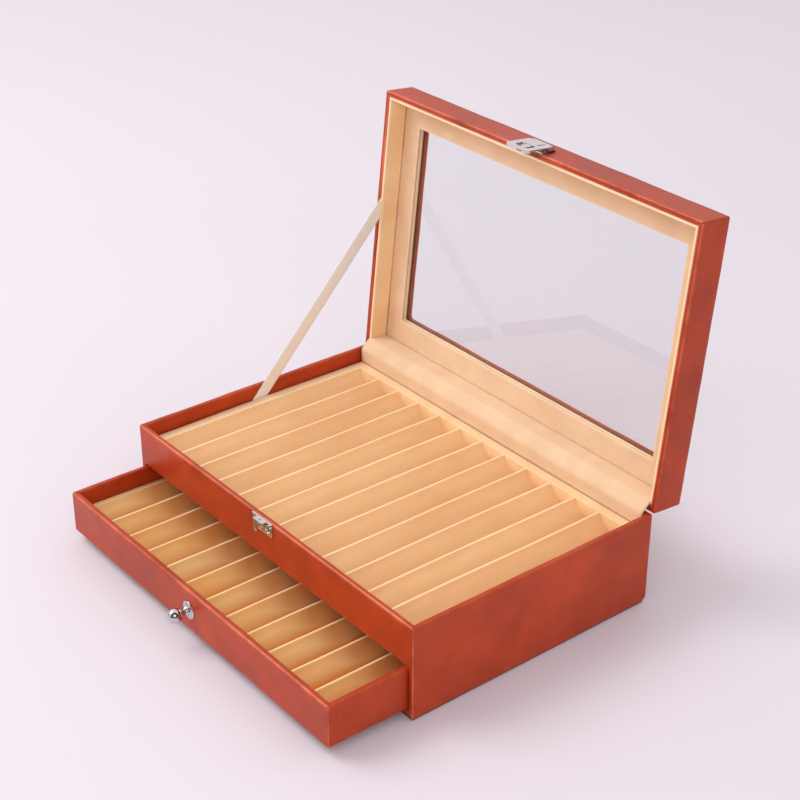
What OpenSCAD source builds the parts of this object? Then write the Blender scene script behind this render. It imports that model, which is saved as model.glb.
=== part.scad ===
// Pen collector chest: a leather-covered box with a glazed lid, a slotted tray under it and a
// slotted drawer below. Origin at the centre of the base, front towards -Y, +Z up, millimetres.
// The lid stands open on its ribbon and the drawer is part way out.

/* [Case] */
// Width of the case and the lid
case_w = 320; // [220:1:420]
// Depth of the case and the lid, front to back
case_d = 209; // [150:1:280]
// Thickness of the leather-covered wall boards of the case and the lid
wall_t = 4; // [3:0.5:6]
// Thickness of the back wall boards of the case and the lid
back_t = 5; // [4.5:0.5:7]
// Thickness of the bottom cover board
base_t = 2.5; // [1.5:0.5:5]
// How far the bottom cover stays back from the case's outline
base_inset = 1; // [0.5:0.5:4]
// Thickness of the floor board under the drawer
floor_t = 4.4; // [3:0.2:8]
// Thickness of the shelf board between the drawer and the tray
shelf_t = 5.9; // [3:0.1:10]
// Height of the case walls above the tray's flange
rim_rise = 11.2; // [8:0.2:25]
// Radius of the leather edges round the rims
edge_r = 1; // [0.4:0.1:1.4]
// Radius of the upright outer corners
corner_r = 1.5; // [0.5:0.5:3.5]
// Radius of the back edge along the bottom of the case and the top of the lid
back_r = 4; // [1:0.5:6]

/* [Lid] */
// Height of the lid from its rim to its top
lid_h = 27; // [23:0.5:45]
// Gap between the closed lid and the case rim
lid_gap = 0.4; // [0.3:0.1:1]
// Angle the lid stands open from closed
lid_open = 96; // [0:1:100]
// Radius of the lid's front and side top edges
lid_edge_r = 3; // [0.5:0.5:3.5]
// Thickness of the top board that holds the window
top_t = 5; // [3:0.5:6]
// Width of the top board from the lid's side to the window
window_side = 23; // [16:1:45]
// Width of the top board from the lid's front or back to the window
window_end = 25.5; // [18:0.5:45]
// Radius of the corners of the opening in the panel and in the frame behind the glass
window_r = 1.5; // [1:0.5:8]
// How far the top board reaches into the window past the panel
window_lip = 0.9; // [0.3:0.1:3]
// Radius of the corners of the opening in the top board
window_top_r = 3; // [1:0.5:8]
// Thickness of the glass
glass_t = 1.2; // [1:0.1:2.5]
// How far the glass reaches under the top board
glass_lap = 6; // [3:0.5:9]
// Thickness of the frame behind the glass
glazing_t = 4; // [2.8:0.1:6]
// Thickness of the suede panel inside the lid
panel_t = 1.5; // [1:0.1:3]
// Thickness of the suede liner strips inside the lid
liner_t = 2.2; // [2:0.1:3.8]

/* [Slots] */
// Width of one pen slot
slot_w = 22.8; // [14:0.2:30]
// Width of the ridge between two slots
ridge_w = 1.8; // [1.2:0.1:5]
// Straight depth above the round bottom of a slot
slot_drop = 0.8; // [0.2:0.1:6]
// Thickness of the suede-faced insert
insert_t = 1.2; // [0.8:0.1:2]
// Flat ledge in front of the slots
front_ledge = 8.2; // [4:0.2:20]
// Flat ledge behind the slots
back_ledge = 8.7; // [4:0.1:20]
// Least ledge beside the first and last slot
side_ledge = 2.5; // [1.5:0.1:10]
// Gap round an insert
insert_gap = 0.3; // [0.1:0.1:1]

/* [Drawer] */
// Height of the drawer
drawer_h = 32; // [28:0.5:60]
// Gap beside and above the drawer
drawer_gap = 0.8; // [0.4:0.1:1.5]
// Radius of the upper corners of the drawer opening
opening_r = 3.5; // [3:0.1:4]
// Radius of the drawer's leather edges
drawer_edge_r = 1.5; // [1:0.1:1.8]
// Thickness of the felt glides under the drawer
glide_t = 0.5; // [0.3:0.1:1.5]
// Width of a felt glide
glide_w = 12; // [6:1:30]
// Distance from the drawer's side to a glide
glide_inset = 14; // [5:1:50]
// Room behind the closed drawer
drawer_room = 4; // [1:0.5:20]
// Thickness of the drawer's sides and back
side_t = 4; // [3:0.5:6]
// Thickness of the drawer's front
front_t = 4.5; // [4:0.5:8]
// Thickness of the drawer's bottom board
bottom_t = 5; // [3:0.2:8]
// How far the drawer stands open
drawer_out = 62; // [0:1:110]

/* [Knob] */
// Radius of the knob's ball
knob_r = 5.3; // [4:0.1:9]
// Distance from the drawer's front to the middle of the ball
knob_reach = 11; // [9.5:0.1:20]
// Radius of the knob's neck
neck_r = 2.6; // [2:0.1:3.5]
// Radius of the round rose under the knob
rose_r = 6.7; // [5.5:0.1:12]
// Thickness of the rose
rose_t = 2.2; // [1:0.1:3]
// Radius of the knob's screw
knob_screw_r = 1.4; // [1:0.1:1.8]

/* [Hinges] */
// Length of one hinge
hinge_len = 30; // [20:1:60]
// Distance from the end of the case to the middle of a hinge
hinge_inset = 65; // [25:1:90]
// Radius of the hinge knuckles
knuckle_r = 1.8; // [1.5:0.1:2.4]
// Radius of the hinge pins
pin_r = 0.8; // [0.6:0.05:1]
// Thickness of the hinge leaves
leaf_t = 0.8; // [0.5:0.1:1]
// Distance of the hinge axis behind the inner side of the back wall
hinge_in = 5; // [4.8:0.1:6.4]
// Distance of the hinge axis below the case rim
hinge_below = 0.5; // [0.2:0.1:0.9]
// Radius of the hinge screws
screw_r = 0.7; // [0.5:0.1:0.9]
// Length of the hinge screws
screw_len = 7; // [4:0.5:12]

/* [Linings and ribbon] */
// Thickness of the suede lining on the back wall
lining_t = 1; // [0.6:0.1:2]
// Thickness of the suede-covered card on the lid's hinge wall
lid_lining_t = 1.4; // [1:0.1:1.5]
// Thickness of the suede strip across the hinges
strip_t = 0.9; // [0.5:0.1:1]
// Distance from the case's inner side to the end of the strip
strip_inset = 1; // [0.5:0.1:3]
// Rise of the strip's bow above its chord
strip_bow = 1.1; // [0.6:0.1:1.8]
// Width of the ribbon stay
ribbon_w = 10; // [6:0.5:16]
// Thickness of the ribbon stay
ribbon_t = 0.4; // [0.2:0.1:0.5]
// Distance from the case's front to the ribbon at the tray
ribbon_case = 104.5; // [40:0.5:120]
// Distance from the lid's hinge edge to the ribbon at the lid rim
ribbon_lid = 116.5; // [60:0.5:125]
// Length of ribbon glued inside the lid
ribbon_tail = 8; // [4:0.5:12]

/* [Latch] */
// Width of the flap
flap_w = 23; // [18:0.5:30]
// Length of the flap from its pin to its free end
flap_len = 26.5; // [25:0.5:29]
// Thickness of the flap
flap_t = 1; // [0.8:0.1:1.4]
// Space between the lid's face and the flap
flap_off = 3.3; // [3:0.1:5]
// Height of the flap's pin above the lid rim
latch_pin_up = 11.5; // [10:0.5:14]
// Radius of the latch pin
latch_pin_r = 0.7; // [0.5:0.05:0.8]
// Radius of the flap's knuckle
flap_knuckle_r = 1.5; // [1.3:0.1:1.8]
// Room in the flap's window on each side of the catch's hook
flap_window_gap = 1.2; // [0.8:0.1:1.4]
// Radius of the corners of the flap's window
flap_window_r = 4; // [1:0.5:5]
// Radius of the flap's free corners
flap_corner_r = 4.5; // [1.5:0.5:6]
// Depth of the lip turned in along the flap's free end
flap_lip = 1.2; // [0.8:0.1:2]
// Width of the tongue that stands in the flap's window
tongue_w = 4; // [3:0.1:4.6]
// Height of the tongue
tongue_h = 8; // [4:0.5:8]
// Distance of the flap's slit to the right of its middle
slit_x = 4.4; // [3:0.1:7]
// Width of the slit
slit_w = 1.1; // [0.6:0.1:1.6]
// Distance of the hole in the flap's lip to the right of its middle
lip_hole_x = 1.6; // [-4:0.1:2]
// Width of the hole
lip_hole_w = 5; // [2:0.1:5]
// Distance of the bracket's cheeks in from the flap's sides
cheek_in = 2.4; // [1.5:0.1:4]
// Thickness of the sheet the latch and the catch are bent from
sheet_t = 0.8; // [0.6:0.1:1]
// Width of the catch
catch_w = 22.6; // [18:0.2:32]
// Height of the catch
catch_h = 10.7; // [9:0.1:16]
// Depth of the catch's top flange and of its ring
catch_d = 1.5; // [1.2:0.1:2.5]
// Drop of the catch's top below the case rim
catch_drop = 0.3; // [0.2:0.1:1]
// Width of the hook that the flap's window passes over
hook_w = 10.6; // [8:0.1:11]
// Distance of the hook's middle to the right of the catch's middle
hook_off = 0.4; // [0:0.1:0.8]
// Reach of the hook in front of the case
hook_reach = 5.3; // [5:0.1:7]
// Height of the hook
hook_h = 9; // [6:0.1:9.4]
// Width of the plate down the hook's front
hook_plate_w = 4.4; // [3:0.1:5]
// Radius of the ring round the catch's stud
stud_ring_r = 3.7; // [2.6:0.1:4]
// Radius of the stud's ball
stud_r = 1.7; // [1.2:0.1:2]

/* [Hidden] */
$fn = 40;

// Small shared clearances
touch = 0.1;        // between glued or resting pieces
run_gap = 0.05;     // pin in a turning knuckle, per side
side_gap = 0.3;     // between turning knuckles
cut = 1;            // overshoot of a cutting shape

// Heights, from the table up
floor_top = base_t + floor_t;
drawer_z = floor_top + glide_t + touch;
opening_top = drawer_z + drawer_h + drawer_gap;
shelf_z = opening_top + drawer_gap;
shelf_top = shelf_z + shelf_t;
slot_r = slot_w / 2;
insert_h = insert_t + slot_r + slot_drop;
tray_z = shelf_top + touch;
tray_top = tray_z + insert_h;
case_h = tray_top + rim_rise;

// Plan sizes
inner_w = case_w - 2 * wall_t;
inner_d = case_d - wall_t - back_t;
inner_front_y = -inner_d / 2;
inner_back_y = inner_d / 2;
front_y = inner_front_y - wall_t;
back_y = inner_back_y + back_t;
slot_pitch = slot_w + ridge_w;

// Tray insert: the gap beside it leaves room for the ribbon
tray_side_gap = ribbon_t + 2 * touch + insert_gap;
tray_w = inner_w - 2 * tray_side_gap;
tray_d = inner_d - 2 * insert_gap;

// Drawer, in its own frame: its front face at y = 0, its underside at z = 0
drawer_w = inner_w - 2 * drawer_gap;
drawer_d = case_d - back_t - drawer_room;
drawer_insert_w = drawer_w - 2 * side_t - 2 * insert_gap;
drawer_insert_d = drawer_d - front_t - side_t - 2 * insert_gap;
knob_z = drawer_h / 2;
knob_head_r = 2.1 * knob_screw_r;
knob_head_t = 1.2;

// Lid stack, from its rim up
liner_h = lid_h - top_t - glazing_t - panel_t;
panel_z = liner_h;
glazing_z = panel_z + panel_t;
top_z = lid_h - top_t;
window_w = case_w - 2 * window_side;
window_d = inner_d + 2 * wall_t - 2 * window_end;
side_liner_len = inner_d - liner_t;

// Hinge axis
axis_y = inner_back_y + hinge_in;
axis_z = case_h - hinge_below;
lid_z = case_h + lid_gap;
hinge_x = case_w / 2 - hinge_inset;
knuckle_len = (hinge_len - 2 * side_gap) / 3;
leaf_front_y = inner_back_y + 0.4;
leaf_back_y = axis_y - 0.5;
screw_y = (leaf_front_y + axis_y) / 2 - 0.7;
screw_x = hinge_len / 2 - 5;
screw_head_r = 1.8 * screw_r;
screw_head_t = 0.4;
notch_r = knuckle_r + side_gap;

// A point of the closed lid, (y, z) from the case's centre and the lid rim, carried to the open lid
function opened(y, z) = [
    axis_y + cos(lid_open) * (y - axis_y) + sin(lid_open) * (z + lid_z - axis_z),
    axis_z - sin(lid_open) * (y - axis_y) + cos(lid_open) * (z + lid_z - axis_z)];

// Hinge strip: a shallow arc in the side view from the back lining to the lid lining
lining_top = case_h - 0.5;
strip_low = [inner_back_y - lining_t / 2 - touch, lining_top + touch + strip_t / 2];
strip_high = opened(inner_back_y - liner_t + lid_lining_t / 2, leaf_t + touch + strip_t / 3);
strip_span = norm(strip_high - strip_low);
strip_arc_r = strip_span * strip_span / (8 * strip_bow) + strip_bow / 2;
strip_along = (strip_high - strip_low) / strip_span;
strip_up = [-strip_along[1], strip_along[0]];
strip_centre = (strip_high + strip_low) / 2 + strip_up * (strip_bow - strip_arc_r);
strip_w = inner_w - 2 * strip_inset;

// Ribbon stay: from the wall beside the tray to the lid rim, in one straight pull
ribbon_x = -inner_w / 2 + touch;
ribbon_low = [front_y + ribbon_case, tray_top];
ribbon_high = opened(back_y - ribbon_lid, 0);
ribbon_dir = (ribbon_high - ribbon_low) / norm(ribbon_high - ribbon_low);
ribbon_side = [-ribbon_dir[1], ribbon_dir[0]];
ribbon_start = ribbon_low - ribbon_dir * ((insert_h - ribbon_w / 2 - touch) / ribbon_dir[1]);
ribbon_end = ribbon_high + ribbon_dir * ribbon_tail;

// Latch, on the lid's front face, and catch, on the case's front face
latch_y = front_y - flap_off - flap_t + flap_knuckle_r;
cheek_gap = 0.4;
cheek_x = flap_w / 2 - cheek_in;
bracket_w = 2 * (cheek_x + sheet_t);
bracket_foot = 0.6;
catch_top = case_h - catch_drop;
stud_x = catch_w / 2 - stud_ring_r - 1;
stud_up = 0.5;
flap_window_top = catch_top - lid_z + flap_window_gap;
flap_window_low = catch_top - lid_z - hook_h - flap_window_gap;
tongue_x = hook_off - hook_w / 2 + hook_plate_w + 0.7;
stud_z = catch_top - sheet_t - stud_ring_r - 1.2;
rivet_r = 0.8;
rivet_head_r = 1.3;
rivet_len = 3;

// ---- shared shapes ----

// A quarter of a square corner outside a circle of radius r, pointing at (x, y)
module corner_cut(x, y, flip_x, flip_y, r) {
    if (r > 0)
        translate([x, y]) mirror([flip_x, 0]) mirror([0, flip_y])
            difference() {
                translate([-cut, -cut]) square(r + cut);
                translate([r, r]) circle(r);
            }
}

// A rectangle from (x0, y0) to (x1, y1) with corner radii in the order
// bottom left, bottom right, top right, top left
module corner_rect(x0, y0, x1, y1, radii) {
    difference() {
        translate([x0, y0]) square([x1 - x0, y1 - y0]);
        corner_cut(x0, y0, 0, 0, radii[0]);
        corner_cut(x1, y0, 1, 0, radii[1]);
        corner_cut(x1, y1, 1, 1, radii[2]);
        corner_cut(x0, y1, 0, 1, radii[3]);
    }
}

// Lays a flat shape drawn in (x, z) upright, len deep about y = 0
module upright_xz(len) rotate([90, 0, 0]) linear_extrude(len, center = true) children();

// Lays a flat shape drawn in (y, z) upright, len wide about x = 0
module upright_yz(len) rotate([90, 0, 90]) linear_extrude(len, center = true) children();

// One mitred side of a rectangular ring in plan. side: 0 front, 1 right, 2 back, 3 left
module ring_sector(side, w, y0, y1, t_side, t_front, t_back) {
    outer = [[-w / 2, y0], [w / 2, y0], [w / 2, y1], [-w / 2, y1]];
    inner = [[-w / 2 + t_side, y0 + t_front], [w / 2 - t_side, y0 + t_front],
             [w / 2 - t_side, y1 - t_back], [-w / 2 + t_side, y1 - t_back]];
    next = (side + 1) % 4;
    polygon([outer[side], outer[next], inner[next], inner[side]]);
}

// A board of that ring from z0 to z1, its long edges rounded by radii
module ring_board(side, w, y0, y1, t_side, t_front, t_back, z0, z1, radii) {
    intersection() {
        translate([0, 0, z0]) linear_extrude(z1 - z0)
            ring_sector(side, w, y0, y1, t_side, t_front, t_back);
        if (side == 0) upright_yz(w) corner_rect(y0, z0, y0 + t_front, z1, radii);
        if (side == 2) upright_yz(w) corner_rect(y1 - t_back, z0, y1, z1, radii);
        if (side == 1) translate([0, (y0 + y1) / 2, 0]) upright_xz(y1 - y0)
            corner_rect(w / 2 - t_side, z0, w / 2, z1, radii);
        if (side == 3) translate([0, (y0 + y1) / 2, 0]) upright_xz(y1 - y0)
            corner_rect(-w / 2, z0, -w / 2 + t_side, z1, radii);
    }
}

// Outline of the case: upright corners and the back bottom edge rounded
module case_envelope() {
    intersection() {
        linear_extrude(case_h) corner_rect(-case_w / 2, front_y, case_w / 2, back_y,
            [corner_r, corner_r, corner_r, corner_r]);
        upright_yz(case_w) corner_rect(front_y, base_t, back_y, case_h, [0, back_r, 0, 0]);
    }
}

// Outline of the lid above its rim: corners, top edges and the back top edge rounded
module lid_envelope() {
    intersection() {
        linear_extrude(lid_h) corner_rect(-case_w / 2, front_y, case_w / 2, back_y,
            [corner_r, corner_r, corner_r, corner_r]);
        upright_yz(case_w) corner_rect(front_y, 0, back_y, lid_h, [0, 0, back_r, lid_edge_r]);
        translate([0, (front_y + back_y) / 2, 0]) upright_xz(case_d) corner_rect(-case_w / 2, 0, case_w / 2, lid_h,
            [0, 0, lid_edge_r, lid_edge_r]);
    }
}

// Carries a piece of the closed lid, drawn from its rim up, to the open lid
module on_lid() {
    translate([0, axis_y, axis_z]) rotate([-lid_open, 0, 0])
        translate([0, -axis_y, lid_z - axis_z]) children();
}

module on_drawer() {
    translate([0, front_y - drawer_out, drawer_z]) children();
}

// A cylinder along X about the middle of each listed span [x0, x1] of the hinge axis
module axis_rods(spans, r) {
    for (span = spans)
        translate([span[0], axis_y, axis_z]) rotate([0, 90, 0]) cylinder(r = r, h = span[1] - span[0]);
}

// A slotted insert: a flange with half-round troughs, its front edge at y = 0, its lowest point at z = 0
module slot_insert(w, d) {
    count = floor((w - 2 * side_ledge) / slot_pitch);
    slot_len = d - front_ledge - back_ledge;
    flange_z = insert_h - insert_t;
    difference() {
        union() {
            translate([-w / 2, 0, flange_z]) cube([w, d, insert_t]);
            for (k = [0 : count - 1])
                slot_body((k - (count - 1) / 2) * slot_pitch, slot_r + insert_t,
                    front_ledge - insert_t, slot_len + 2 * insert_t, insert_h);
        }
        for (k = [0 : count - 1])
            slot_body((k - (count - 1) / 2) * slot_pitch, slot_r, front_ledge, slot_len, insert_h + cut);
    }
}

// The room of one trough of radius r, open upwards to z = top
module slot_body(x, r, y, len, top) {
    axis = insert_t + slot_r;
    translate([x, y + len / 2, axis]) upright_xz(len) {
        intersection() {
            circle(r);
            translate([-r, -r]) square([2 * r, r]);
        }
        translate([-r, 0]) square([2 * r, top - axis]);
    }
}

// ---- case ----

module base_board() {
    color("#3a2420") linear_extrude(base_t)
        corner_rect(-case_w / 2 + base_inset, front_y + base_inset,
            case_w / 2 - base_inset, back_y - base_inset, [1, 1, 2, 2]);
}

module case_floor() {
    color("#8f3a26") translate([-inner_w / 2, front_y, base_t])
        cube([inner_w, case_d - back_t, floor_t]);
}

// A side wall: mitred to the front rail above the drawer opening, square to the front below it
module case_side_wall(side) {
    radii = [0, 0, edge_r, edge_r];
    color("#a8432a") intersection() {
        case_envelope();
        union() {
            ring_board(side, case_w, front_y, back_y, wall_t, wall_t, back_t, base_t, case_h, radii);
            ring_board(side, case_w, front_y, back_y, wall_t, 0, back_t, base_t, opening_top, [0, 0, 0, 0]);
        }
    }
}

module case_left_wall() { case_side_wall(3); }

module case_right_wall() { case_side_wall(1); }

module case_back_wall() {
    color("#a8432a") difference() {
        intersection() {
            case_envelope();
            ring_board(2, case_w, front_y, back_y, wall_t, wall_t, back_t, base_t, case_h,
                [0, 0, edge_r, edge_r]);
        }
        for (x = [-hinge_x, hinge_x]) {
            translate([x - hinge_len / 2 - touch, inner_back_y - cut, case_h - leaf_t])
                cube([hinge_len + 2 * touch, back_t + 2 * cut, leaf_t + cut]);
            axis_rods([[x - hinge_len / 2 - touch, x + hinge_len / 2 + touch]], notch_r);
            for (s = [-screw_x, screw_x])
                translate([x + s, screw_y, case_h - screw_len]) cylinder(r = screw_r, h = screw_len);
        }
    }
}

// The rail over the drawer opening, with the opening's rounded top corners
module case_front_rail() {
    color("#b4472c") difference() {
        union() {
            intersection() {
                case_envelope();
                ring_board(0, case_w, front_y, back_y, wall_t, wall_t, back_t, opening_top, case_h,
                    [0, 0, edge_r, edge_r]);
            }
            for (flip = [0, 1])
                mirror([flip, 0, 0]) translate([0, front_y + wall_t / 2, 0]) upright_xz(wall_t)
                    difference() {
                        translate([inner_w / 2 - opening_r, opening_top - opening_r]) square(opening_r);
                        translate([inner_w / 2 - opening_r, opening_top - opening_r]) circle(opening_r);
                    }
        }
        catch_rivet_places() cylinder(r = rivet_r, h = rivet_len);
    }
}

module drawer_shelf() {
    color("#7d3324") translate([-inner_w / 2, inner_front_y, shelf_z])
        cube([inner_w, inner_d, shelf_t]);
}

module tray_insert() {
    color("#eec08f") translate([0, inner_front_y + insert_gap, tray_z]) slot_insert(tray_w, tray_d);
}

module back_lining() {
    color("#f0c69c") translate([-inner_w / 2 + touch, inner_back_y - lining_t, tray_top + touch])
        cube([inner_w - 2 * touch, lining_t, lining_top - tray_top - touch]);
}

// The strip is a slice of a ring: the part of it above the chord between its two ends
module hinge_strip() {
    turn = atan2(strip_along[1], strip_along[0]);
    color("#f0c69c") upright_yz(strip_w) translate(strip_centre) rotate(turn)
        intersection() {
            difference() {
                circle(strip_arc_r + strip_t / 2, $fn = 96);
                circle(strip_arc_r - strip_t / 2, $fn = 96);
            }
            translate([-strip_span / 2, 0]) square([strip_span, 2 * strip_arc_r]);
        }
}

module stay_ribbon() {
    half = ribbon_side * ribbon_w / 2;
    color("#f3e6cf") translate([ribbon_x + ribbon_t / 2, 0, 0]) upright_yz(ribbon_t)
        polygon([ribbon_start - half, ribbon_end - half, ribbon_end + half, ribbon_start + half]);
}

// ---- hinges ----

// Spans along the hinge axis of the two outer knuckles and of the middle one
function outer_spans(x) = [[x - hinge_len / 2, x - hinge_len / 2 + knuckle_len],
    [x + hinge_len / 2 - knuckle_len, x + hinge_len / 2]];
function middle_spans(x) = [[x - knuckle_len / 2, x + knuckle_len / 2]];
function grown(spans) = [for (s = spans) [s[0] - side_gap, s[1] + side_gap]];

// A leaf lies from z = low up, with its knuckles round the axis and the other leaf's knuckles cut clear
module hinge_leaf(x, low, own, others, bore, screw_from) {
    color("silver") difference() {
        union() {
            translate([x - hinge_len / 2, leaf_front_y, low])
                cube([hinge_len, leaf_back_y - leaf_front_y, leaf_t]);
            axis_rods(own, knuckle_r);
        }
        axis_rods(grown(others), notch_r);
        axis_rods([[x - hinge_len, x + hinge_len]], bore);
        for (s = [-screw_x, screw_x])
            translate([x + s, screw_y, low - cut]) cylinder(r = screw_r, h = leaf_t + 2 * cut);
        for (s = [-screw_x, screw_x])
            translate([x + s, screw_y, screw_from]) cylinder(r = screw_head_r, h = screw_head_t);
    }
}

module case_hinge_leaf(x) {
    hinge_leaf(x, case_h - leaf_t, outer_spans(x), middle_spans(x), pin_r, case_h - screw_head_t);
}

// Drawn at the closed lid's height and turned with it
module lid_hinge_leaf(x) {
    on_lid() translate([0, 0, -lid_z])
        hinge_leaf(x, lid_z, middle_spans(x), outer_spans(x), pin_r + run_gap, lid_z);
}

module case_hinge_leaf_left() { case_hinge_leaf(-hinge_x); }

module case_hinge_leaf_right() { case_hinge_leaf(hinge_x); }

module lid_hinge_leaf_left() { lid_hinge_leaf(-hinge_x); }

module lid_hinge_leaf_right() { lid_hinge_leaf(hinge_x); }

module hinge_pin(x) {
    color("silver") axis_rods([[x - hinge_len / 2, x + hinge_len / 2]], pin_r);
}

module hinge_pin_left() { hinge_pin(-hinge_x); }

module hinge_pin_right() { hinge_pin(hinge_x); }

// A flush screw pointing down from its head at z = 0
module small_screw() {
    translate([0, 0, -screw_head_t]) cylinder(r = screw_head_r, h = screw_head_t);
    translate([0, 0, -screw_len]) cylinder(r = screw_r, h = screw_len);
}

module case_hinge_screws() {
    color("gray") for (x = [-hinge_x, hinge_x], s = [-screw_x, screw_x])
        translate([x + s, screw_y, case_h]) small_screw();
}

module lid_hinge_screws() {
    color("gray") on_lid() for (x = [-hinge_x, hinge_x], s = [-screw_x, screw_x])
        translate([x + s, screw_y, 0]) mirror([0, 0, 1]) small_screw();
}

// ---- lid ----

module lid_wall(side) {
    intersection() {
        lid_envelope();
        ring_board(side, case_w, front_y, back_y, wall_t, wall_t, back_t, 0, top_z,
            [edge_r, edge_r, 0, 0]);
    }
}

module lid_left_wall() { color("#a8432a") on_lid() lid_wall(3); }

module lid_right_wall() { color("#a8432a") on_lid() lid_wall(1); }

module lid_front_wall() {
    color("#b4675c") on_lid() difference() {
        lid_wall(0);
        latch_rivet_places() cylinder(r = rivet_r, h = rivet_len);
    }
}

module lid_back_wall() {
    color("#a8432a") on_lid() difference() {
        lid_wall(2);
        for (x = [-hinge_x, hinge_x]) {
            translate([x - hinge_len / 2 - touch, inner_back_y - cut, -cut])
                cube([hinge_len + 2 * touch, back_t + 2 * cut, leaf_t + cut]);
            translate([0, 0, -lid_z])
                axis_rods([[x - hinge_len / 2 - touch, x + hinge_len / 2 + touch]], notch_r);
            for (s = [-screw_x, screw_x])
                translate([x + s, screw_y, 0]) cylinder(r = screw_r, h = screw_len);
        }
    }
}

// The window's outline in plan, grown by g on every side, with corners of radius r
module window_shape(g, r) {
    corner_rect(-window_w / 2 - g, -window_d / 2 - g, window_w / 2 + g, window_d / 2 + g, [r, r, r, r]);
}

module lid_top_frame() {
    color("#a8432a") on_lid() difference() {
        intersection() {
            lid_envelope();
            translate([-case_w / 2, front_y, top_z]) cube([case_w, case_d, top_t]);
        }
        translate([0, 0, top_z - cut]) linear_extrude(top_t + 2 * cut)
            window_shape(-window_lip, window_top_r);
    }
}

// The left liner is hollowed behind for the glued end of the ribbon
module lid_liner_left() {
    pocket_y = back_y - ribbon_lid - ribbon_w - ribbon_tail;
    color("#eec08f") on_lid() difference() {
        translate([-inner_w / 2, inner_front_y, 0]) cube([liner_t, side_liner_len, liner_h]);
        translate([-inner_w / 2 - cut, pocket_y, -cut])
            cube([cut + ribbon_t + 2 * touch, 2 * ribbon_w + ribbon_tail, cut + ribbon_tail + ribbon_w]);
    }
}

module lid_liner_right() {
    color("#eec08f") on_lid() translate([inner_w / 2 - liner_t, inner_front_y, 0])
        cube([liner_t, side_liner_len, liner_h]);
}

module lid_liner_front() {
    color("#eec08f") on_lid() translate([-inner_w / 2 + liner_t, inner_front_y, 0])
        cube([inner_w - 2 * liner_t, liner_t, liner_h]);
}

// The back liner starts above the hinge leaves so that the strip can pass over it
module lid_liner_back() {
    low = leaf_t + touch;
    thick = liner_t - lid_lining_t;
    color("#eec08f") on_lid() translate([-inner_w / 2, inner_back_y - thick, low])
        cube([inner_w, thick, liner_h - low]);
}

module lid_hinge_lining() {
    low = leaf_t + 2 * touch + strip_t;
    color("#f0c69c") on_lid() translate([-inner_w / 2, inner_back_y - liner_t, low])
        cube([inner_w, lid_lining_t, liner_h - low]);
}

module lid_inner_panel() {
    color("#f2c49a") on_lid() translate([0, 0, panel_z]) linear_extrude(panel_t) difference() {
        corner_rect(-inner_w / 2, inner_front_y, inner_w / 2, inner_back_y, [0, 0, 0, 0]);
        window_shape(0, window_r);
    }
}

// The frame behind the glass, with a pocket on its upper face that the glass lies in
module glazing_frame() {
    color("#f6d9b8") on_lid() difference() {
        translate([0, 0, glazing_z]) linear_extrude(glazing_t) difference() {
            corner_rect(-inner_w / 2, inner_front_y, inner_w / 2, inner_back_y, [0, 0, 0, 0]);
            window_shape(0, window_r);
        }
        translate([0, 0, top_z - glass_t - touch]) linear_extrude(glass_t + touch + cut)
            window_shape(glass_lap + insert_gap, window_r);
    }
}

module glass_pane() {
    color([0.85, 0.92, 0.93, 0.4]) on_lid() translate([0, 0, top_z - glass_t])
        linear_extrude(glass_t) window_shape(glass_lap, window_r);
}

// ---- latch and catch ----

// Rivet places on the lid's front face and on the case's front face, drilling inwards
module latch_rivet_places() {
    for (x = [-bracket_w / 4, bracket_w / 4])
        translate([x, front_y, latch_pin_up / 2 - 1]) rotate([-90, 0, 0]) children();
}

module catch_rivet_places() {
    for (x = [-catch_w / 4 - 1, catch_w / 4 - 5.2])
        translate([x, front_y, catch_top - catch_h + 2.4]) rotate([-90, 0, 0]) children();
}

module latch_bracket() {
    foot_w = bracket_w + 2 * bracket_foot;
    color("silver") on_lid() difference() {
        union() {
            translate([-foot_w / 2, front_y - sheet_t, edge_r]) cube([foot_w, sheet_t, latch_pin_up + 1.4]);
            for (x = [-bracket_w / 2, bracket_w / 2 - sheet_t]) {
                translate([x, latch_y, latch_pin_up - flap_knuckle_r])
                    cube([sheet_t, front_y - latch_y, 2 * flap_knuckle_r]);
                translate([x, latch_y, latch_pin_up]) rotate([0, 90, 0]) cylinder(r = flap_knuckle_r, h = sheet_t);
            }
        }
        latch_axis(bracket_w + 2 * cut) cylinder(r = latch_pin_r, h = bracket_w + 2 * cut);
        latch_rivet_places() translate([0, 0, -2 * sheet_t]) cylinder(r = rivet_r, h = 3 * sheet_t);
    }
}

// Runs children along +X over a length centred on the latch's pin
module latch_axis(len) {
    translate([-len / 2, latch_y, latch_pin_up]) rotate([0, 90, 0]) children();
}

module latch_pin() {
    color("gray") on_lid() latch_axis(bracket_w) cylinder(r = latch_pin_r, h = bracket_w);
}

module latch_rivets() {
    color("gray") on_lid() latch_rivet_places() {
        cylinder(r = rivet_r, h = rivet_len);
        translate([0, 0, -sheet_t]) cylinder(r = rivet_r, h = sheet_t);
        translate([0, 0, -sheet_t - 0.6]) cylinder(r = rivet_head_r, h = 0.6);
    }
}

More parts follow.
